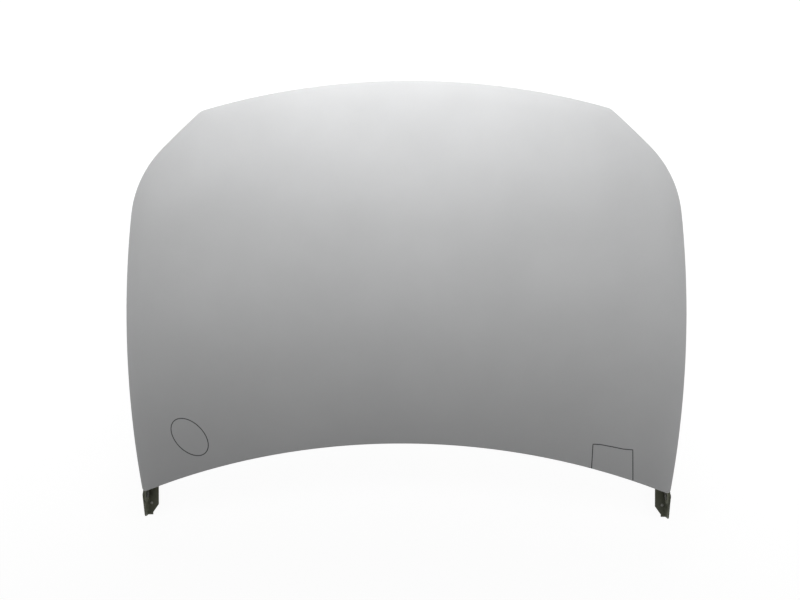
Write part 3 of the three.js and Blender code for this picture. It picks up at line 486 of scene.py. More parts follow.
def rounded_ring(polygon, radius, offset, longest=math.inf):
    """A ring round a convex polygon with rounded corners, moved out by an offset."""
    count = len(polygon)
    facing = [bearing(polygon[i], polygon[(i + 1) % count]) - QUARTER for i in range(count)]
    rounds = []
    for i, point in enumerate(polygon):
        start = facing[i - 1]
        turn = (facing[i] - start) % (2 * math.pi)
        centre = on_circle((point[0], point[1], -radius / math.cos(turn / 2)), start + turn / 2)
        rounds.append(((centre[0], centre[1], radius + offset), start, start + turn))
    parts = []
    for i, (circle, start, end) in enumerate(rounds):
        after, after_start, _ = rounds[(i + 1) % count]
        first, last = on_circle(circle, end), on_circle(after, after_start)
        pieces = max(1, math.ceil(distance(circle, after) / longest))
        along = np.arange(pieces)[:, None] / pieces
        bow = EDGE_BOW * distance(first, last) * 4 * along * (1 - along)
        parts.append(arc(circle, start, end, BEND_STEPS))
        parts.append(first + (last - first) * along + on_circle((0, 0, 1), end) * bow)
    return np.concatenate(parts)


def rectangle(x, y, length, breadth):
    dx, dy = length / 2, breadth / 2
    return np.array([(x - dx, y - dy), (x + dx, y - dy), (x + dx, y + dy), (x - dx, y + dy)])


def wall_share(t):
    """The share of a wall's height at a share of its width, with a fillet at each end."""
    f = WALL_FILLET
    t = np.asarray(t, float)
    early = t**2 / (2 * f)
    late = 1 - f - (1 - t) ** 2 / (2 * f)
    return np.where(t < f, early, np.where(t > 1 - f, late, t - f / 2)) / (1 - f)


WALL = np.linspace(0, 1, WALL_STEPS + 1)


def inside(points, loop):
    """True for each point that a closed loop holds."""
    x, y = points[:, 0, None], points[:, 1, None]
    ax, ay = loop.T
    bx, by = np.roll(loop, -1, axis=0).T
    between = (ay[None] > y) != (by[None] > y)
    with np.errstate(divide="ignore", invalid="ignore"):
        at = (bx - ax)[None] * (y - ay[None]) / (by - ay)[None] + ax[None]
    return (np.sum(between & (x < at), axis=1) % 2).astype(bool)


MARKS_AT_ONCE = 64
CLEARANCE = 0.62
MERGE = 1e-6


def clear_of(points, loop, gap):
    """True for each point further than a gap from a loop's points and the middles between them."""
    halves = (loop + np.roll(loop, -1, axis=0)) / 2
    marks = np.concatenate([loop, halves])
    nearest = np.full(len(points), np.inf)
    for part in np.array_split(marks, max(1, len(marks) // MARKS_AT_ONCE)):
        across, along = (points[:, None] - part[None]).transpose(2, 0, 1)
        nearest = np.minimum(nearest, np.hypot(across, along).min(axis=1))
    return nearest > gap


def filled(sheet, outer, holes, step, place):
    """Fills the space between a loop and the holes in it. A loop is (plan points, indices)."""
    loops = [outer, *holes]
    known = np.concatenate([plan for plan, _ in loops])
    nodes = [k for _, ring in loops for k in ring]
    low, high = outer[0].min(axis=0), outer[0].max(axis=0)
    extra = np.empty((0, 2))
    if step:
        rise = step * math.sqrt(3) / 2
        rows = []
        for i, y in enumerate(np.arange(low[1], high[1], rise)):
            x = np.arange(low[0] + (i % 2) * step / 2, high[0], step)
            rows.append(np.stack([x, np.full_like(x, y)], -1))
        extra = np.concatenate(rows)
        extra = extra[inside(extra, outer[0])]
        for plan, _ in holes:
            extra = extra[~inside(extra, plan)]
        for plan, _ in loops:
            extra = extra[clear_of(extra, plan, step * CLEARANCE)]
    plan = np.concatenate([known, extra])
    edges, first = [], 0
    for loop, _ in loops:
        count = len(loop)
        edges += [(first + i, first + (i + 1) % count) for i in range(count)]
        first += count
    points, _, triangles, sources, _, _ = delaunay_2d_cdt([Vector(p) for p in plan], edges, [], 0, MERGE)
    where = [source[0] if source else None for source in sources]
    triangles = np.array([[where[k] for k in triangle] for triangle in triangles])
    centres = plan[triangles].mean(axis=1)
    kept = inside(centres, outer[0])
    for hole, _ in holes:
        kept &= ~inside(centres, hole)
    nodes += sheet.ring(place(extra)) if len(extra) else []
    for a, b, c in triangles[kept]:
        pa, pb, pc = plan[a], plan[b], plan[c]
        left = (pb[0] - pa[0]) * (pc[1] - pa[1]) - (pb[1] - pa[1]) * (pc[0] - pa[0]) > 0
        sheet.faces.append((nodes[a], nodes[b], nodes[c]) if left else (nodes[a], nodes[c], nodes[b]))


def groove(x, y, pads):
    """Depth of the shallow grooves in the floor, which fade out at the pads and crossings."""
    lean = (RIB_FRONT_X - RIB_REAR_X) / NOSE_Y
    rib = (np.abs(x) - (RIB_REAR_X + lean * y)) / math.hypot(1, lean)

    def bump(away):
        return np.where(np.abs(away) < GROOVE_WIDTH / 2, np.cos(away / GROOVE_WIDTH * math.pi) ** 2, 0)

    def ends(value, low, high):
        share = np.clip(np.minimum(value - low, high - value) / (GROOVE_WIDTH / 2), 0, 1)
        return share * share * (3 - 2 * share)

    rib_gap = RIB_WIDTH / 2 + GROOVE_GAP
    rib_x = RIB_REAR_X + lean * CROSS_RIB_Y
    depth = bump(rib) * ends(y, RIB_GROOVE_ENDS[0], CROSS_RIB_Y - rib_gap)
    depth += bump(rib) * ends(y, CROSS_RIB_Y + rib_gap, RIB_GROOVE_ENDS[1])
    depth += bump(y - CROSS_RIB_Y) * ends(np.abs(x), rib_x + rib_gap, CROSS_GROOVE_END)
    depth += bump(y - CROSS_RIB_Y) * ends(rib_x - np.abs(x), rib_gap, math.inf)
    side = EDGE["side"][2] - np.hypot(np.abs(x) - EDGE["side"][0], y - EDGE["side"][1])
    rear = np.hypot(x, y + REAR_RADIUS) - REAR_RADIUS
    depth += bump(side - GROOVE_INSET) * sum(ends(y, low, high) for low, high in SIDE_GROOVES)
    depth += bump(rear - GROOVE_INSET) * ends(REAR_GROOVE_REACH - np.abs(x), 0, math.inf)
    for px, py, reach in pads:
        away = np.hypot(np.abs(x) - px, y - py)
        depth *= np.clip((away - reach) / GROOVE_WIDTH, 0, 1)
    return GROOVE_DEPTH * depth


def inner_sheet():
    """One pressing with a seat in the hem, a floor of beams and ribs, flanged windows and flat pads."""
    sheet = Sheet()

    def lay(plan, depth):
        return sheet.ring(under(plan, depth))

    seat_insets = (HEM_FOLD_GAP, (HEM_FOLD_GAP + SEAT_WIDTH) / 2, SEAT_WIDTH)
    seat = [lay(outline(inset), SEAT_DEPTH) for inset in seat_insets]
    wall = []
    for t in WALL[1:]:
        depth = SEAT_DEPTH + (FLOOR_DEPTH - SEAT_DEPTH) * wall_share(t)
        wall.append(lay(outline(SEAT_WIDTH + (RIM_WIDTH - SEAT_WIDTH) * t), depth))
    rings = seat + wall
    for outer, inner in zip(rings, rings[1:]):
        sheet.strip(outer, inner)
    rim = (outline(RIM_WIDTH), wall[-1])

    loops = []
    for polygon in window_polygons():
        rings = []
        for t in WALL:
            offset = FLANGE_WIDTH + WINDOW_WALL * (1 - t)
            depth = FLOOR_DEPTH + (FLANGE_DEPTH - FLOOR_DEPTH) * wall_share(t)
            rings.append(lay(rounded_ring(polygon, WINDOW_RADIUS, offset, RING_STEP), depth))
        for offset in (FLANGE_WIDTH / 2, 0):
            rings.append(lay(rounded_ring(polygon, WINDOW_RADIUS, offset, RING_STEP), FLANGE_DEPTH))
        for outer, inner in zip(rings, rings[1:]):
            sheet.strip(outer, inner)
        foot = rounded_ring(polygon, WINDOW_RADIUS, FLANGE_WIDTH + WINDOW_WALL, RING_STEP)
        loops.append((foot, rings[0]))

    def add_pad(plateau, foot, z, drills):
        """A flat pad at a height, its wall down to the floor, and round holes through it."""
        starts = start_over(foot, FLOOR_DEPTH)
        base = under(starts, FLOOR_DEPTH)
        top = np.column_stack([plateau, np.full(len(plateau), z)])
        rings = []
        for t in WALL:
            points = base + (top - base) * t
            points[:, 2] = base[:, 2] + (z - base[:, 2]) * wall_share(t)
            rings.append(sheet.ring(points))
        for outer, inner in zip(rings, rings[1:]):
            sheet.strip(outer, inner)
        holes = []
        for x, y, radius in drills:
            plan = arc((x, y, radius + FIT), 0, 2 * math.pi, ROUND_STEPS)
            holes.append((plan, sheet.ring(np.column_stack([plan, np.full(len(plan), z)]))))
        filled(sheet, (plateau, rings[-1]), holes, 0, None)
        loops.append((starts, rings[0]))

    def both(plateau, foot, z, drills):
        add_pad(plateau, foot, z, drills)
        add_pad(mirrored_ring(plateau), mirrored_ring(foot), z, [(-x, y, r) for x, y, r in drills])

    hinge = rectangle(*HINGE_PAD, PAD_WIDTH, PAD_LENGTH)
    bolts = [(HINGE_PAD[0], HINGE_PAD[1] + side * BOLT_PITCH / 2, BOLT_RADIUS) for side in (-1, 1)]
    hinge_rings = [rounded_ring(hinge, PAD_CORNER, offset, RING_STEP) for offset in (0, PAD_WALL)]
    both(*hinge_rings, HINGE_PAD_Z, bolts)
    boss = rectangle(*LATCH, LATCH_PAD_LENGTH, LATCH_PAD_WIDTH)
    striker = [(side * STRIKER_BOLT_PITCH / 2, LATCH[1], STRIKER_BOLT_RADIUS) for side in (-1, 1)]
    boss_rings = [rounded_ring(boss, PAD_CORNER, offset, RING_STEP) for offset in (0, LATCH_WALL)]
    add_pad(*boss_rings, LATCH_Z, striker)
    pad_foot = BUFFER_PAD_RADIUS + BUFFER_PAD_WALL
    for x, y in BUFFER_PADS:
        rings = [arc((x, y, r), 0, 2 * math.pi, ROUND_STEPS) for r in (BUFFER_PAD_RADIUS, pad_foot)]
        both(*rings, buffer_pad_z(x, y), [(x, y, BUFFER_STEM_RADIUS)])

    pads = [(*HINGE_PAD, PAD_LENGTH / 2), (*LATCH, LATCH_PAD_LENGTH / 2 + LATCH_WALL)]
    pads += [(x, y, pad_foot) for x, y in BUFFER_PADS]

    def floor_place(plan):
        return under(plan, FLOOR_DEPTH + groove(plan[:, 0], plan[:, 1], pads))

    filled(sheet, rim, loops, FLOOR_STEP, floor_place)
    return sheet


# Materials
SOFT_EDGE = 0.6


class Shade:
    """The nodes of one material, on the object's own coordinates in metres."""

    def __init__(self, name, **values):
        self.material = bpy.data.materials.new(name)
        self.material.use_nodes = True
        self.tree = self.material.node_tree
        self.tree.nodes.clear()
        output = self.add("ShaderNodeOutputMaterial")
        self.shader = self.add("ShaderNodeBsdfPrincipled", **values)
        self.tree.links.new(self.shader.outputs[0], output.inputs["Surface"])
        self.place = self.add("ShaderNodeTexCoord").outputs["Object"]

    def add(self, kind, **values):
        node = self.tree.nodes.new(kind)
        for name, value in values.items():
            self.put(node, name.replace("_", " "), value)
        return node

    def put(self, node, name, value):
        socket = node.inputs[name]
        if isinstance(value, bpy.types.NodeSocket):
            self.tree.links.new(value, socket)
        else:
            socket.default_value = value

    def set(self, **values):
        for name, value in values.items():
            self.put(self.shader, name.replace("_", " "), value)

    def stretched(self, scale):
        return self.add("ShaderNodeMapping", Vector=self.place, Scale=scale).outputs[0]

    def noise(self, scale, detail=2.0, roughness=0.5, place=None):
        sockets = {"Vector": place or self.place, "Scale": scale, "Detail": detail, "Roughness": roughness}
        return self.add("ShaderNodeTexNoise", **sockets).outputs["Fac"]

    def cells(self, scale):
        return self.add("ShaderNodeTexVoronoi", Vector=self.place, Scale=scale).outputs["Color"]

    def grey(self, colour):
        return self.add("ShaderNodeSeparateColor", Color=colour).outputs["Red"]

    def spread(self, source, low, high, start=0.3, end=0.7):
        node = self.add("ShaderNodeMapRange", Value=source)
        node.inputs["From Min"].default_value = start
        node.inputs["From Max"].default_value = end
        node.inputs["To Min"].default_value = low
        node.inputs["To Max"].default_value = high
        return node.outputs["Result"]

    def near(self, place, reach):
        """1 close to a place in metres and to its mirror image, and 0 beyond a reach."""
        split = self.add("ShaderNodeSeparateXYZ", Vector=self.place)
        side = self.tree.nodes.new("ShaderNodeMath")
        side.operation = "ABSOLUTE"
        self.put(side, "Value", split.outputs["X"])
        rest = {axis: split.outputs[axis] for axis in "YZ"}
        whole = self.add("ShaderNodeCombineXYZ", X=side.outputs[0], **rest)
        apart = self.tree.nodes.new("ShaderNodeVectorMath")
        apart.operation = "DISTANCE"
        self.tree.links.new(whole.outputs[0], apart.inputs[0])
        apart.inputs[1].default_value = place
        return self.spread(apart.outputs["Value"], 1, 0, SOFT_EDGE * reach, reach)

    def mix(self, share, first, second):
        node = self.tree.nodes.new("ShaderNodeMix")
        node.data_type = "RGBA"
        for socket, value in zip((node.inputs[0], node.inputs[6], node.inputs[7]), (share, first, second)):
            if isinstance(value, bpy.types.NodeSocket):
                self.tree.links.new(value, socket)
            else:
                socket.default_value = value
        return node.outputs[2]

    def bump(self, height, strength, metres):
        return self.add("ShaderNodeBump", Height=height, Strength=strength, Distance=metres).outputs["Normal"]


def rgb(r, g=None, b=None):
    return (r, r if g is None else g, r if b is None else b, 1)


# Tones of the finishes
SILVER = (rgb(0.515, 0.52, 0.525), rgb(0.545, 0.55, 0.555))
SILVER_FLAKE = rgb(0.8)
THIN_SILVER = (rgb(0.44, 0.445, 0.45), rgb(0.5, 0.505, 0.51))
GREY_DUST = rgb(0.36, 0.35, 0.335)
OLIVE_BLACK = (rgb(0.062, 0.066, 0.044), rgb(0.15, 0.155, 0.11))
BARE_CHIP = rgb(0.2, 0.195, 0.18)
# A lighter grey for the round patch on each bracket's pip
PIP_LIGHTER_TONE = rgb(0.42, 0.42, 0.39)
ZINC_SPANGLE = (rgb(0.42, 0.425, 0.43), rgb(0.55, 0.55, 0.54))
ZINC_FILM = rgb(0.36, 0.345, 0.27)
BLACKENED = (rgb(0.025, 0.025, 0.022), rgb(0.11, 0.11, 0.1))
BRIGHT_STEEL = (rgb(0.36, 0.36, 0.365), rgb(0.5, 0.5, 0.5))
BROWN_BLOOM = rgb(0.16, 0.1, 0.06)
RUBBER_BLACK = (rgb(0.011, 0.011, 0.012), rgb(0.04, 0.039, 0.037))
MASTIC_GREY = (rgb(0.035, 0.036, 0.039), rgb(0.07, 0.072, 0.076))
MARKER = (rgb(0.03, 0.031, 0.033), rgb(0.052, 0.054, 0.056))

# Cells or waves per metre, by what they show
FLAKE = 2600
SPANGLE = 520
CLOUD = 5
DUST = 4
SPRAY = 14
PEEL = 150
FINE_GRAIN = 600


def skin_paint():
    """Silver metallic: fine flake, faint cloudiness and orange peel under a clear coat."""
    s = Shade("silver_clear_coat", Metallic=0.0, IOR=1.45, Specular_IOR_Level=0.15)
    s.set(Coat_Weight=1.0, Coat_Roughness=0.035, Coat_IOR=1.5)
    flake = s.grey(s.cells(FLAKE))
    tone = s.mix(s.spread(s.noise(CLOUD, 3), 0, 1), *SILVER)
    s.set(Base_Color=s.mix(s.spread(flake, 0, 0.16, 0.55, 1.0), tone, SILVER_FLAKE))
    s.set(Roughness=s.spread(s.noise(SPRAY, 4), 0.36, 0.46))
    s.set(Normal=s.bump(flake, 0.06, 0.0002), Coat_Normal=s.bump(s.noise(PEEL, 2), 0.05, 0.0004))
    return s.material


def inner_paint():
    """The same colour sprayed thinner on the inner side, duller and a little uneven."""
    s = Shade("silver_inner_coat", Metallic=0.08, IOR=1.45)
    s.set(Coat_Weight=0.25, Coat_Roughness=0.3)
    dry = s.noise(22, 5, 0.62)
    dust = s.noise(DUST, 4)
    tone = s.mix(s.spread(dry, 0, 1), *THIN_SILVER)
    s.set(Base_Color=s.mix(s.spread(dust, 0, 0.25, 0.52, 0.75), tone, GREY_DUST))
    s.set(Roughness=s.spread(dry, 0.46, 0.62))
    s.set(Normal=s.bump(s.noise(420, 3), 0.12, 0.0003))
    return s.material


# The raised pip on each bracket's foot, coloured a lighter grey within a small reach of its middle
PIP_ACROSS = 11.5
PIP_BACK = 28
PIP_PATCH_REACH = 4.5 * MM
BRACKET_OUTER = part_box("hinge_bracket_right")[1].x
PIP = (BRACKET_OUTER - PIP_ACROSS * MM, middle_of("hinge_rivet_right").y - PIP_BACK * MM, 4 * MM)


def hinge_coat():
    """Black coated steel gone olive with road film, chipped lighter here and there."""
    s = Shade("black_coated_steel", Metallic=0.25, IOR=1.5)
    film = s.noise(34, 6, 0.62)
    chips = s.noise(260, 3, 0.7)
    tone = s.mix(s.spread(film, 0, 1, 0.3, 0.72), *OLIVE_BLACK)
    tone = s.mix(s.spread(chips, 0, 0.7, 0.7, 0.78), tone, BARE_CHIP)
    # Lighter grey in a small round patch on the pip of each bracket's foot
    s.set(Base_Color=s.mix(s.near(PIP, PIP_PATCH_REACH), tone, PIP_LIGHTER_TONE))
    s.set(Roughness=s.spread(film, 0.42, 0.66))
    s.set(Normal=s.bump(s.noise(FINE_GRAIN, 3), 0.15, 0.0003))
    return s.material


def zinc():
    """Zinc plate: a faint spangle and a dull, slightly yellow film."""
    s = Shade("zinc_plate", Metallic=0.85, IOR=1.5)
    spangle = s.grey(s.cells(SPANGLE))
    film = s.noise(60, 4)
    tone = s.mix(s.spread(spangle, 0, 1, 0, 1), *ZINC_SPANGLE)
    s.set(Base_Color=s.mix(s.spread(film, 0, 0.5, 0.45, 0.7), tone, ZINC_FILM))
    s.set(Roughness=s.spread(film, 0.34, 0.5))
    s.set(Normal=s.bump(spangle, 0.05, 0.0002))
    return s.material


def dark_steel():
    """Blackened steel, rubbed brighter in places."""
    s = Shade("blackened_steel", Metallic=0.6, IOR=1.5)
    rubbed = s.noise(150, 4, 0.6)
    s.set(Base_Color=s.mix(s.spread(rubbed, 0, 1, 0.4, 0.75), *BLACKENED))
    s.set(Roughness=s.spread(rubbed, 0.4, 0.55))
    s.set(Normal=s.bump(s.noise(FINE_GRAIN, 3), 0.1, 0.0002))
    return s.material


def bare_steel():
    """Worn bright steel with fine drawing lines and a brown bloom."""
    s = Shade("bare_steel", Metallic=1.0, IOR=1.5)
    lines = s.noise(900, 3, 0.5, s.stretched((1, 0.06, 1)))
    bloom = s.noise(120, 5, 0.6)
    tone = s.mix(s.spread(lines, 0, 1), *BRIGHT_STEEL)
    s.set(Base_Color=s.mix(s.spread(bloom, 0, 0.55, 0.55, 0.72), tone, BROWN_BLOOM))
    s.set(Roughness=s.spread(lines, 0.26, 0.42))
    s.set(Normal=s.bump(lines, 0.08, 0.0002))
    return s.material


def rubber():
    """Black rubber with a grey bloom of dust."""
    s = Shade("black_rubber", IOR=1.5)
    dust = s.noise(140, 5, 0.6)
    s.set(Base_Color=s.mix(s.spread(dust, 0, 0.7), *RUBBER_BLACK))
    s.set(Roughness=s.spread(dust, 0.6, 0.82))
    s.set(Normal=s.bump(s.noise(900, 3), 0.2, 0.0003))
    return s.material


def mastic():
    """Dark grey expanding mastic with small blisters."""
    s = Shade("mastic", IOR=1.45)
    blisters = s.noise(700, 4, 0.6)
    s.set(Base_Color=s.mix(s.spread(blisters, 0, 1), *MASTIC_GREY))
    s.set(Roughness=s.spread(blisters, 0.7, 0.9))
    s.set(Normal=s.bump(blisters, 0.5, 0.0006))
    return s.material


def ink():
    """A thin dark line of marker, a little uneven."""
    s = Shade("marker_line", IOR=1.45)
    flow = s.noise(240, 3)
    s.set(Base_Color=s.mix(s.spread(flow, 0, 1), *MARKER))
    s.set(Roughness=s.spread(flow, 0.35, 0.5))
    s.set(Normal=s.bump(s.noise(500, 2), 0.05, 0.0002))
    return s.material


FINISHES = {
    "skin_paint": skin_paint(),
    "inner_paint": inner_paint(),
    "hinge_coat": hinge_coat(),
    "zinc": zinc(),
    "bare_steel": bare_steel(),
    "rubber": rubber(),
    "mastic": mastic(),
}
INK = ink()
DARK_STEEL = dark_steel()

paint, thin_paint = FINISHES["skin_paint"], FINISHES["inner_paint"]
piece("skin_pressing", skin_sheet(), paint, replaces=["outer_skin"], smooth=60)
inner = piece("inner_pressing", inner_sheet(), thin_paint, replaces=["inner_panel"], smooth=50)
thicken = inner.modifiers.new("thickness", "SOLIDIFY")
thicken.thickness = INNER * MM
thicken.offset = -1
thicken.use_even_offset = True


# Marks: thin ribbons of ink on the skin
def ribbon(path, closed):
    """A raised line along points on the skin."""
    path = np.asarray(path, float)
    if closed:
        way = np.roll(path, -1, axis=0) - np.roll(path, 1, axis=0)
    else:
        way = np.gradient(path, axis=0)
    across = np.stack([-way[:, 1], way[:, 0]], -1)
    across /= np.linalg.norm(across, axis=1, keepdims=True)
    sheet = Sheet()
    section = [(-0.5, 0), (-0.36, -MARK_LIFT), (0.36, -MARK_LIFT), (0.5, 0)]
    rows = [sheet.ring(under(path + across * MARK_WIDTH * share, lift)) for share, lift in section]
    for near, far in zip(rows, rows[1:] + rows[:1]):
        sheet.strip(near, far, closed)
    if not closed:
        sheet.fan([row[0] for row in rows])
        sheet.fan([row[-1] for row in rows], True)
    return sheet


def stroke(points, step=3.0):
    """Points along straight lines, a step apart."""
    points = np.asarray(points, float)
    parts = []
    for a, b in zip(points, points[1:]):
        count = max(1, round(distance(a, b) / step))
        parts.append(a + (b - a) * np.arange(count)[:, None] / count)
    return np.concatenate(parts + [points[-1:]])


turn = math.radians(OVAL_TURN)
around = np.linspace(0, 2 * math.pi, 96, endpoint=False)
long_axis = np.array([math.cos(turn), math.sin(turn)])
short_axis = np.array([-math.sin(turn), math.cos(turn)])
oval = (
    np.array(OVAL_CENTRE)
    + np.outer(np.cos(around) * OVAL_SEMI[0], long_axis)
    + np.outer(np.sin(around) * OVAL_SEMI[1], short_axis)
)
piece("mark_oval", ribbon(oval, True), INK)
piece("mark_frame", ribbon(stroke([FRAME_FEET[0], *FRAME_TOP, FRAME_FEET[1]]), False), INK)

# Turned and hexagonal pieces, each on an axis of its own
TURN_STEPS = 48


def across_hexagon(across, angle):
    """The radius of a hexagon at an angle."""
    sixth = math.pi / 3
    return across / 2 / np.cos(angle % sixth - sixth / 2)


def turned(profile, looped=False, wave=1.0):
    """A solid of revolution about Z, from (radius, z) pairs upwards, or (radius, z, width of a hexagon)."""
    sheet = Sheet()
    angle = np.arange(TURN_STEPS) * 2 * math.pi / TURN_STEPS
    rings = []
    for radius, z, *hexagon in profile:
        if radius == 0:
            rings.append(sheet.ring([(0, 0, z)]))
            continue
        reach = np.full(TURN_STEPS, float(radius)) * wave
        if hexagon:
            reach = np.minimum(reach, across_hexagon(hexagon[0], angle))
        height = np.full(TURN_STEPS, z)
        rings.append(sheet.ring(np.column_stack([reach * np.cos(angle), reach * np.sin(angle), height])))
    pairs = list(zip(rings, rings[1:]))
    if looped:
        pairs.append((rings[-1], rings[0]))
    for low, high in pairs:
        for i in range(TURN_STEPS):
            j = (i + 1) % TURN_STEPS
            if len(low) == 1:
                sheet.faces.append((low[0], high[j], high[i]))
            elif len(high) == 1:
                sheet.faces.append((low[i], low[j], high[0]))
            else:
                sheet.faces.append((low[i], low[j], high[j], high[i]))
    return sheet


THREAD_DEPTH = 0.6
THREAD_FLANK = 0.4
THREAD_START = 4
SHANK_END = 1


def threads(radius, start, end, pitch):
    """Profile of a thread between two heights."""
    depth = THREAD_DEPTH * pitch
    profile = []
    for k in range(int((end - start) / pitch)):
        z = start + k * pitch
        crest = z + THREAD_FLANK * pitch
        profile += [(radius - depth, z), (radius, crest), (radius, z + (1 - THREAD_FLANK) * pitch)]
    return profile


def bolt_sheet(radius, across, head, flange, flange_radius, length, pitch):
    """A flanged hexagon bolt with its shank upwards: dished head, chamfered corners, threads."""
    bottom = -head - flange
    corner = across / math.sqrt(3)
    return turned([
        (0, bottom + 0.5),
        (0.28 * across, bottom + 0.5),
        (0.34 * across, bottom),
        (0.46 * across, bottom),
        (0.5 * across, bottom + 0.3, across),
        (corner, bottom + 1.1, across),
        (corner, -flange - 0.3, across),
        (0.52 * across, -flange),
        (flange_radius - 0.5, -0.62 * flange),
        (flange_radius, -0.4 * flange),
        (flange_radius, -0.15),
        (flange_radius - 0.2, 0),
        (radius, 0),
        (radius, THREAD_START - 0.5),
        *threads(radius, THREAD_START, length - SHANK_END, pitch),
        (radius - SHANK_END, length),
        (0, length),
    ])


DOME_STEPS = 8
DOME_RIM = 0.2


def dome(radius, height, base, side):
    """Profile of a domed head from its rim to its middle, on one side of its base."""
    rim = DOME_RIM * height
    turns = np.linspace(0, 1, DOME_STEPS + 1)[:-1] * QUARTER
    profile = [(radius * math.cos(t), base + side * (rim + (height - rim) * math.sin(t))) for t in turns]
    return profile + [(0, base + side * height)]


def rivet_sheet(length):
    """A rivet with a domed head at each end, from its middle."""
    seat = length / 2 - RIVET_HEAD
    lower = dome(RIVET_HEAD_RADIUS, RIVET_HEAD, -seat, -1)[::-1]
    upper = dome(RIVET_HEAD_RADIUS, RIVET_HEAD, seat, 1)
    return turned([
        *lower,
        (RIVET_HEAD_RADIUS, -seat),
        (RIVET_RADIUS, -seat),
        (RIVET_RADIUS, seat),
        (RIVET_HEAD_RADIUS, seat),
        *upper,
    ])


def washer_sheet():
    """A thin washer with broken outer edges, from its middle."""
    inner, outer = RIVET_RADIUS + FIT, WASHER_RADIUS
    half, edge = WASHER / 2, 0.2
    lower = [(inner, -half), (outer - edge, -half), (outer, edge - half)]
    upper = [(radius, -z) for radius, z in reversed(lower)]
    return turned(lower + upper, looped=True)


# Ribbed body of a buffer and the barb above its seat: radius and height
BUFFER_BODY = [
    (0, -13.2), (3, -13.2), (4, -14), (7.2, -14), (8, -13.2),
    (8, -12), (7.4, -11.3), (7.1, -10.7), (7.4, -10.1), (8.7, -9.5), (9, -8.9),
    (9, -8.4), (8.1, -7.7), (7.9, -7.1), (8.2, -6.5), (9.7, -5.9), (10, -5.2),
    (10, -1), (9.7, -0.3), (9.2, 0), (4.4, 0), (4.4, 1.2), (5.4, 1.6), (5.2, 2.4),
]
BUFFER_HEIGHT = -min(z for _, z in BUFFER_BODY)


def buffer_sheet(stem):
    """A ribbed rubber buffer below its seat, with a barbed stem above it."""
    return turned([*BUFFER_BODY, (3.4, stem - 0.6), (2.8, stem), (0, stem)])


# Weld bead under the striker plate: how far down, and how far out
WELD = [(0, 1.8), (0.5, 1.3), (1.3, 0.5), (2.2, 0)]
WELD_GAP = 0.05


def wire_sheet(depth):
    """A round bar bent to a U, its ends at the top of the striker plate, welded to the plate's lower face."""
    r, bend, reach = STRIKER_WIRE_RADIUS, STRIKER_WIRE_BEND, STRIKER_WIRE_SPAN / 2
    bottom = r - depth
    face = -STRIKER_PLATE - WELD_GAP
    leg = [(0, 0.8 * r), (-0.6, r), (face, r)]
    leg += [(face - down, r + weld) for down, weld in WELD]
    leg += [(z, r) for z in np.linspace(face - 2.2, bottom + bend, 4)[1:]]
    path = [(-reach, z, -QUARTER, wide) for z, wide in leg]
    for t in np.linspace(0, QUARTER, 9)[1:]:
        path.append((bend - reach - bend * math.cos(t), bottom + bend - bend * math.sin(t), t - QUARTER, r))
    path += [(-y, z, -way, wide) for y, z, way, wide in path[::-1]]
    angle = np.arange(TURN_STEPS // 2) * 4 * math.pi / TURN_STEPS
    sheet = Sheet()
    rings = []
    for y, z, way, wide in path:
        along, aside = wide * np.sin(angle), wide * np.cos(angle)
        across, up = y - along * math.sin(way), z + along * math.cos(way)
        rings.append(sheet.ring(np.column_stack([aside, across, up])))
    for near, far in zip(rings, rings[1:]):
        sheet.strip(near, far)
    sheet.fan(rings[0], True)
    sheet.fan(rings[-1])
    return sheet


# Rim of a bead, as shares of its radius and of its thickness
BEAD_SHARES = [
    (0, 0), (0.6, 0), (0.84, 0.08), (0.96, 0.3), (1, 0.52), (0.95, 0.76), (0.82, 0.94), (0.6, 1), (0, 1),
]


def bead_sheet(seed, thickness):
    """A pressed blob of mastic with an uneven rim."""
    random = np.random.default_rng(seed)
    angle = np.arange(TURN_STEPS) * 2 * math.pi / TURN_STEPS
    wave = 0.88 + sum(0.035 * random.random() * np.sin(k * angle + random.random() * 6) for k in (2, 3, 4, 5))
    return turned([(out * BEAD_RADIUS, (up - 0.5) * thickness) for out, up in BEAD_SHARES], wave=wave)


def stand_in(node, sheet, finish, place, material=None):
    """A detailed piece that takes over from a node."""
    piece(f"{node}_fine", sheet, material or FINISHES[finish], replaces=[node], local=place)


def upright(node, z):
    """A place on the axis of an upright node, at a height in metres."""
    middle = middle_of(node)
    return Matrix.Translation((middle.x, middle.y, z))


ALONG_X = Matrix.Rotation(QUARTER, 4, "Y")
for side in ("right", "left"):
    for end in ("rear", "front"):
        node = f"hinge_bolt_{end}_{side}"
        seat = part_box(node)[0].z + (BOLT_HEAD["head"] + BOLT_HEAD["flange"]) * MM
        stand_in(node, bolt_sheet(BOLT_RADIUS, **BOLT_HEAD), "zinc", upright(node, seat))
    node = f"striker_bolt_{side}"
    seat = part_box(node)[0].z + (STRIKER_BOLT_HEAD["head"] + STRIKER_BOLT_HEAD["flange"]) * MM
    stand_in(node, bolt_sheet(STRIKER_BOLT_RADIUS, **STRIKER_BOLT_HEAD), "zinc", upright(node, seat))
    node = f"hinge_rivet_{side}"
    low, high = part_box(node)
    place = Matrix.Translation(middle_of(node)) @ ALONG_X
    stand_in(node, rivet_sheet((high.x - low.x) / MM), "bare_steel", place, DARK_STEEL)
    node = f"hinge_washer_{side}"
    stand_in(node, washer_sheet(), "bare_steel", Matrix.Translation(middle_of(node)) @ ALONG_X, DARK_STEEL)
    for node in (f"nose_buffer_{side}", f"side_buffer_{side}"):
        low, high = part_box(node)
        stem = (high.z - low.z) / MM - BUFFER_HEIGHT
        stand_in(node, buffer_sheet(stem), "rubber", upright(node, low.z + BUFFER_HEIGHT * MM))
low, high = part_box("striker_wire")
stand_in("striker_wire", wire_sheet((high.z - low.z) / MM), "bare_steel", upright("striker_wire", high.z))
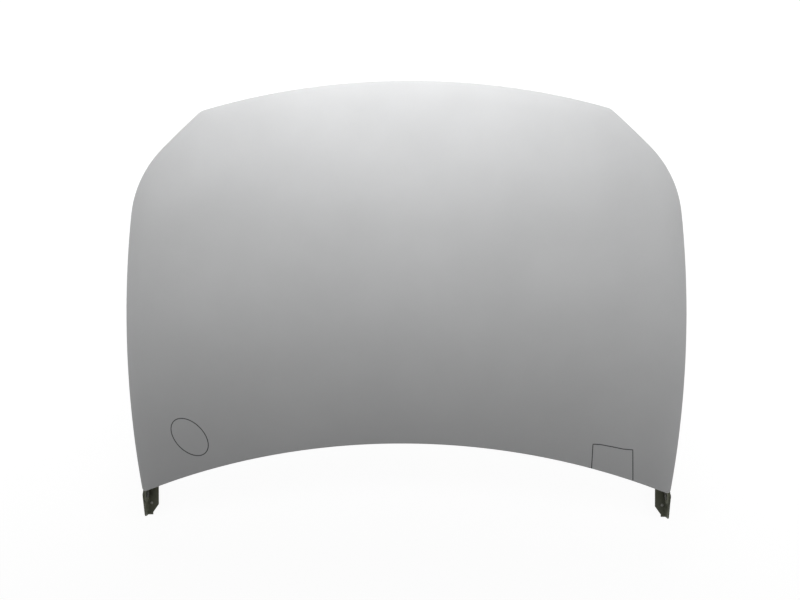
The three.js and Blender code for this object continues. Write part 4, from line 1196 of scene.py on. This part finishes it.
for count, node in enumerate(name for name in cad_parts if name.startswith("mastic_bead")):
    middle = middle_of(node)
    lean = Vector(skin_normal(*(np.array([v]) for v in (middle.x / MM, middle.y / MM - SHIFT_Y)))[0])
    turn = Vector((0, 0, 1)).rotation_difference(lean).to_matrix().to_4x4()
    stand_in(node, bead_sheet(count, BEAD_HEIGHT), "mastic", Matrix.Translation(middle) @ turn)


# The other nodes keep their shape, with rounded edges
BEVELS = {"hinge_coat": 0.6, "zinc": 0.25}
BEVEL_STEPS = 2
BEVEL_ANGLE = 40
for name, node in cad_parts.items():
    if name in ("outer_skin", "inner_panel") or f"{name}_fine" in bpy.data.objects:
        continue
    slot = "hinge_coat" if name.startswith(("hinge_arm", "hinge_bracket")) else "zinc"
    node.data.materials.clear()
    node.data.materials.append(FINISHES[slot])
    bevel = node.modifiers.new("rounded_edges", "BEVEL")
    bevel.width = BEVELS[slot] * MM
    bevel.segments = BEVEL_STEPS
    bevel.limit_method = "ANGLE"
    bevel.angle_limit = math.radians(BEVEL_ANGLE)

# Floor
FLOOR_HALF = 30
FLOOR_GAP = 0.0005
FLOOR_GLOW = 0.94
FLOOR_SHARE = 0.18
FLOOR_COLOUR = 0.7
FLOOR_BOUNCE = 0.45


def seen_directly(tree):
    """1 for what the camera, a reflection or a view through glass sees."""
    path = tree.nodes.new("ShaderNodeLightPath")
    seen = path.outputs["Is Camera Ray"]
    for kind in ("Is Glossy Ray", "Is Transmission Ray"):
        either = tree.nodes.new("ShaderNodeMath")
        either.operation = "MAXIMUM"
        tree.links.new(seen, either.inputs[0])
        tree.links.new(path.outputs[kind], either.inputs[1])
        seen = either.outputs[0]
    return seen


def shader(tree, kind, strength):
    """A plain grey shader."""
    node = tree.nodes.new(kind)
    node.inputs["Color"].default_value = rgb(strength)
    return node.outputs[0]


def joined(tree, kind, *sources):
    """A node fed with other nodes' outputs, in the order of its sockets."""
    node = tree.nodes.new(kind)
    for socket, source in zip(node.inputs, sources):
        tree.links.new(source, socket)
    return node.outputs[0]


def floor_material():
    """Pale where it is seen, with the part's shadow, a soft bounce for the underside, clear from below."""
    material = bpy.data.materials.new("studio_floor")
    material.use_nodes = True
    tree = material.node_tree
    tree.nodes.clear()
    diffuse, emission, add = "ShaderNodeBsdfDiffuse", "ShaderNodeEmission", "ShaderNodeAddShader"
    bounce = joined(tree, add, shader(tree, diffuse, FLOOR_COLOUR), shader(tree, emission, FLOOR_BOUNCE))
    lit = joined(tree, add, shader(tree, diffuse, FLOOR_SHARE), shader(tree, emission, FLOOR_GLOW))
    front = joined(tree, "ShaderNodeMixShader", seen_directly(tree), bounce, lit)
    behind = tree.nodes.new("ShaderNodeNewGeometry").outputs["Backfacing"]
    clear = tree.nodes.new("ShaderNodeBsdfTransparent").outputs[0]
    whole = joined(tree, "ShaderNodeMixShader", behind, front, clear)
    tree.links.new(whole, tree.nodes.new("ShaderNodeOutputMaterial").inputs["Surface"])
    return material


floor_mesh = bpy.data.meshes.new("floor")
floor_corners = [(x * FLOOR_HALF, y * FLOOR_HALF, 0) for x, y in ((-1, -1), (1, -1), (1, 1), (-1, 1))]
floor_mesh.from_pydata(floor_corners, [], [(0, 1, 2, 3)])
floor_mesh.materials.append(floor_material())
floor = bpy.data.objects.new("floor", floor_mesh)
floor.location.z = -FLOOR_GAP
bpy.context.scene.collection.objects.link(floor)

# World: white where the camera or a reflection sees it, a soft dim sky for the light
SKY_LOW = 0.3
SKY_HIGH = 0.055
SKY_BAND = (0.05, 0.45)
BACKGROUND = 0.98

world = bpy.data.worlds.new("studio")
bpy.context.scene.world = world
world.use_nodes = True
tree = world.node_tree
tree.nodes.clear()
coordinates = tree.nodes.new("ShaderNodeTexCoord").outputs["Generated"]
split = tree.nodes.new("ShaderNodeSeparateXYZ")
tree.links.new(coordinates, split.inputs[0])
sky = tree.nodes.new("ShaderNodeMapRange")
sky.interpolation_type = "SMOOTHSTEP"
for name, value in zip(("From Min", "From Max", "To Min", "To Max"), (*SKY_BAND, SKY_LOW, SKY_HIGH)):
    sky.inputs[name].default_value = value
tree.links.new(split.outputs["Z"], sky.inputs["Value"])
dim = tree.nodes.new("ShaderNodeBackground")
tree.links.new(sky.outputs["Result"], dim.inputs["Strength"])
white = shader(tree, "ShaderNodeBackground", BACKGROUND)
choice = joined(tree, "ShaderNodeMixShader", seen_directly(tree), dim.outputs[0], white)
tree.links.new(choice, tree.nodes.new("ShaderNodeOutputWorld").inputs["Surface"])


# Lamps: place, target and size in metres, then watts
LAMPS = {
    "nose_softbox": ((0, 1.18, 0.46), (0, 0.81, 0.1), (1.75, 0.81), 13.24),
    "top_strip": ((0, 0.26, 0.84), (0, 0.57, 0.1), (3.34, 0.43), 7.21),
    "right_softbox": ((1.59, -0.35, 0.75), (0, 0, 0.1), (1.18, 0.67), 3.09),
    "left_softbox": ((-1.59, -0.35, 0.75), (0, 0, 0.1), (1.18, 0.67), 2.08),
}


def softbox(name, place, target, size, watts):
    """A rectangular lamp that faces a target."""
    lamp = bpy.data.lights.new(name, "AREA")
    lamp.shape = "RECTANGLE"
    lamp.size, lamp.size_y = size
    lamp.energy = watts
    made = bpy.data.objects.new(name, lamp)
    made.location = place
    made.rotation_euler = (Vector(target) - Vector(place)).to_track_quat("-Z", "Y").to_euler()
    made.visible_camera = False
    made.visible_glossy = False
    bpy.context.scene.collection.objects.link(made)


for name, lamp in LAMPS.items():
    softbox(name, *lamp)

# Camera, above and a little to the right, turned back to the middle
CAMERA_PLACE = (0.0632, 0.0195, 2.64)
CAMERA_TURN = (-0.51, 1.647, -0.088)
LENS = 45
SENSOR = 36

camera_data = bpy.data.cameras.new("camera")
camera_data.lens = LENS
camera_data.sensor_width = SENSOR
camera = bpy.data.objects.new("camera", camera_data)
camera.location = CAMERA_PLACE
camera.rotation_euler = [math.radians(angle) for angle in CAMERA_TURN]
bpy.context.scene.collection.objects.link(camera)
bpy.context.scene.camera = camera
bpy.context.scene.view_settings.view_transform = "Standard"
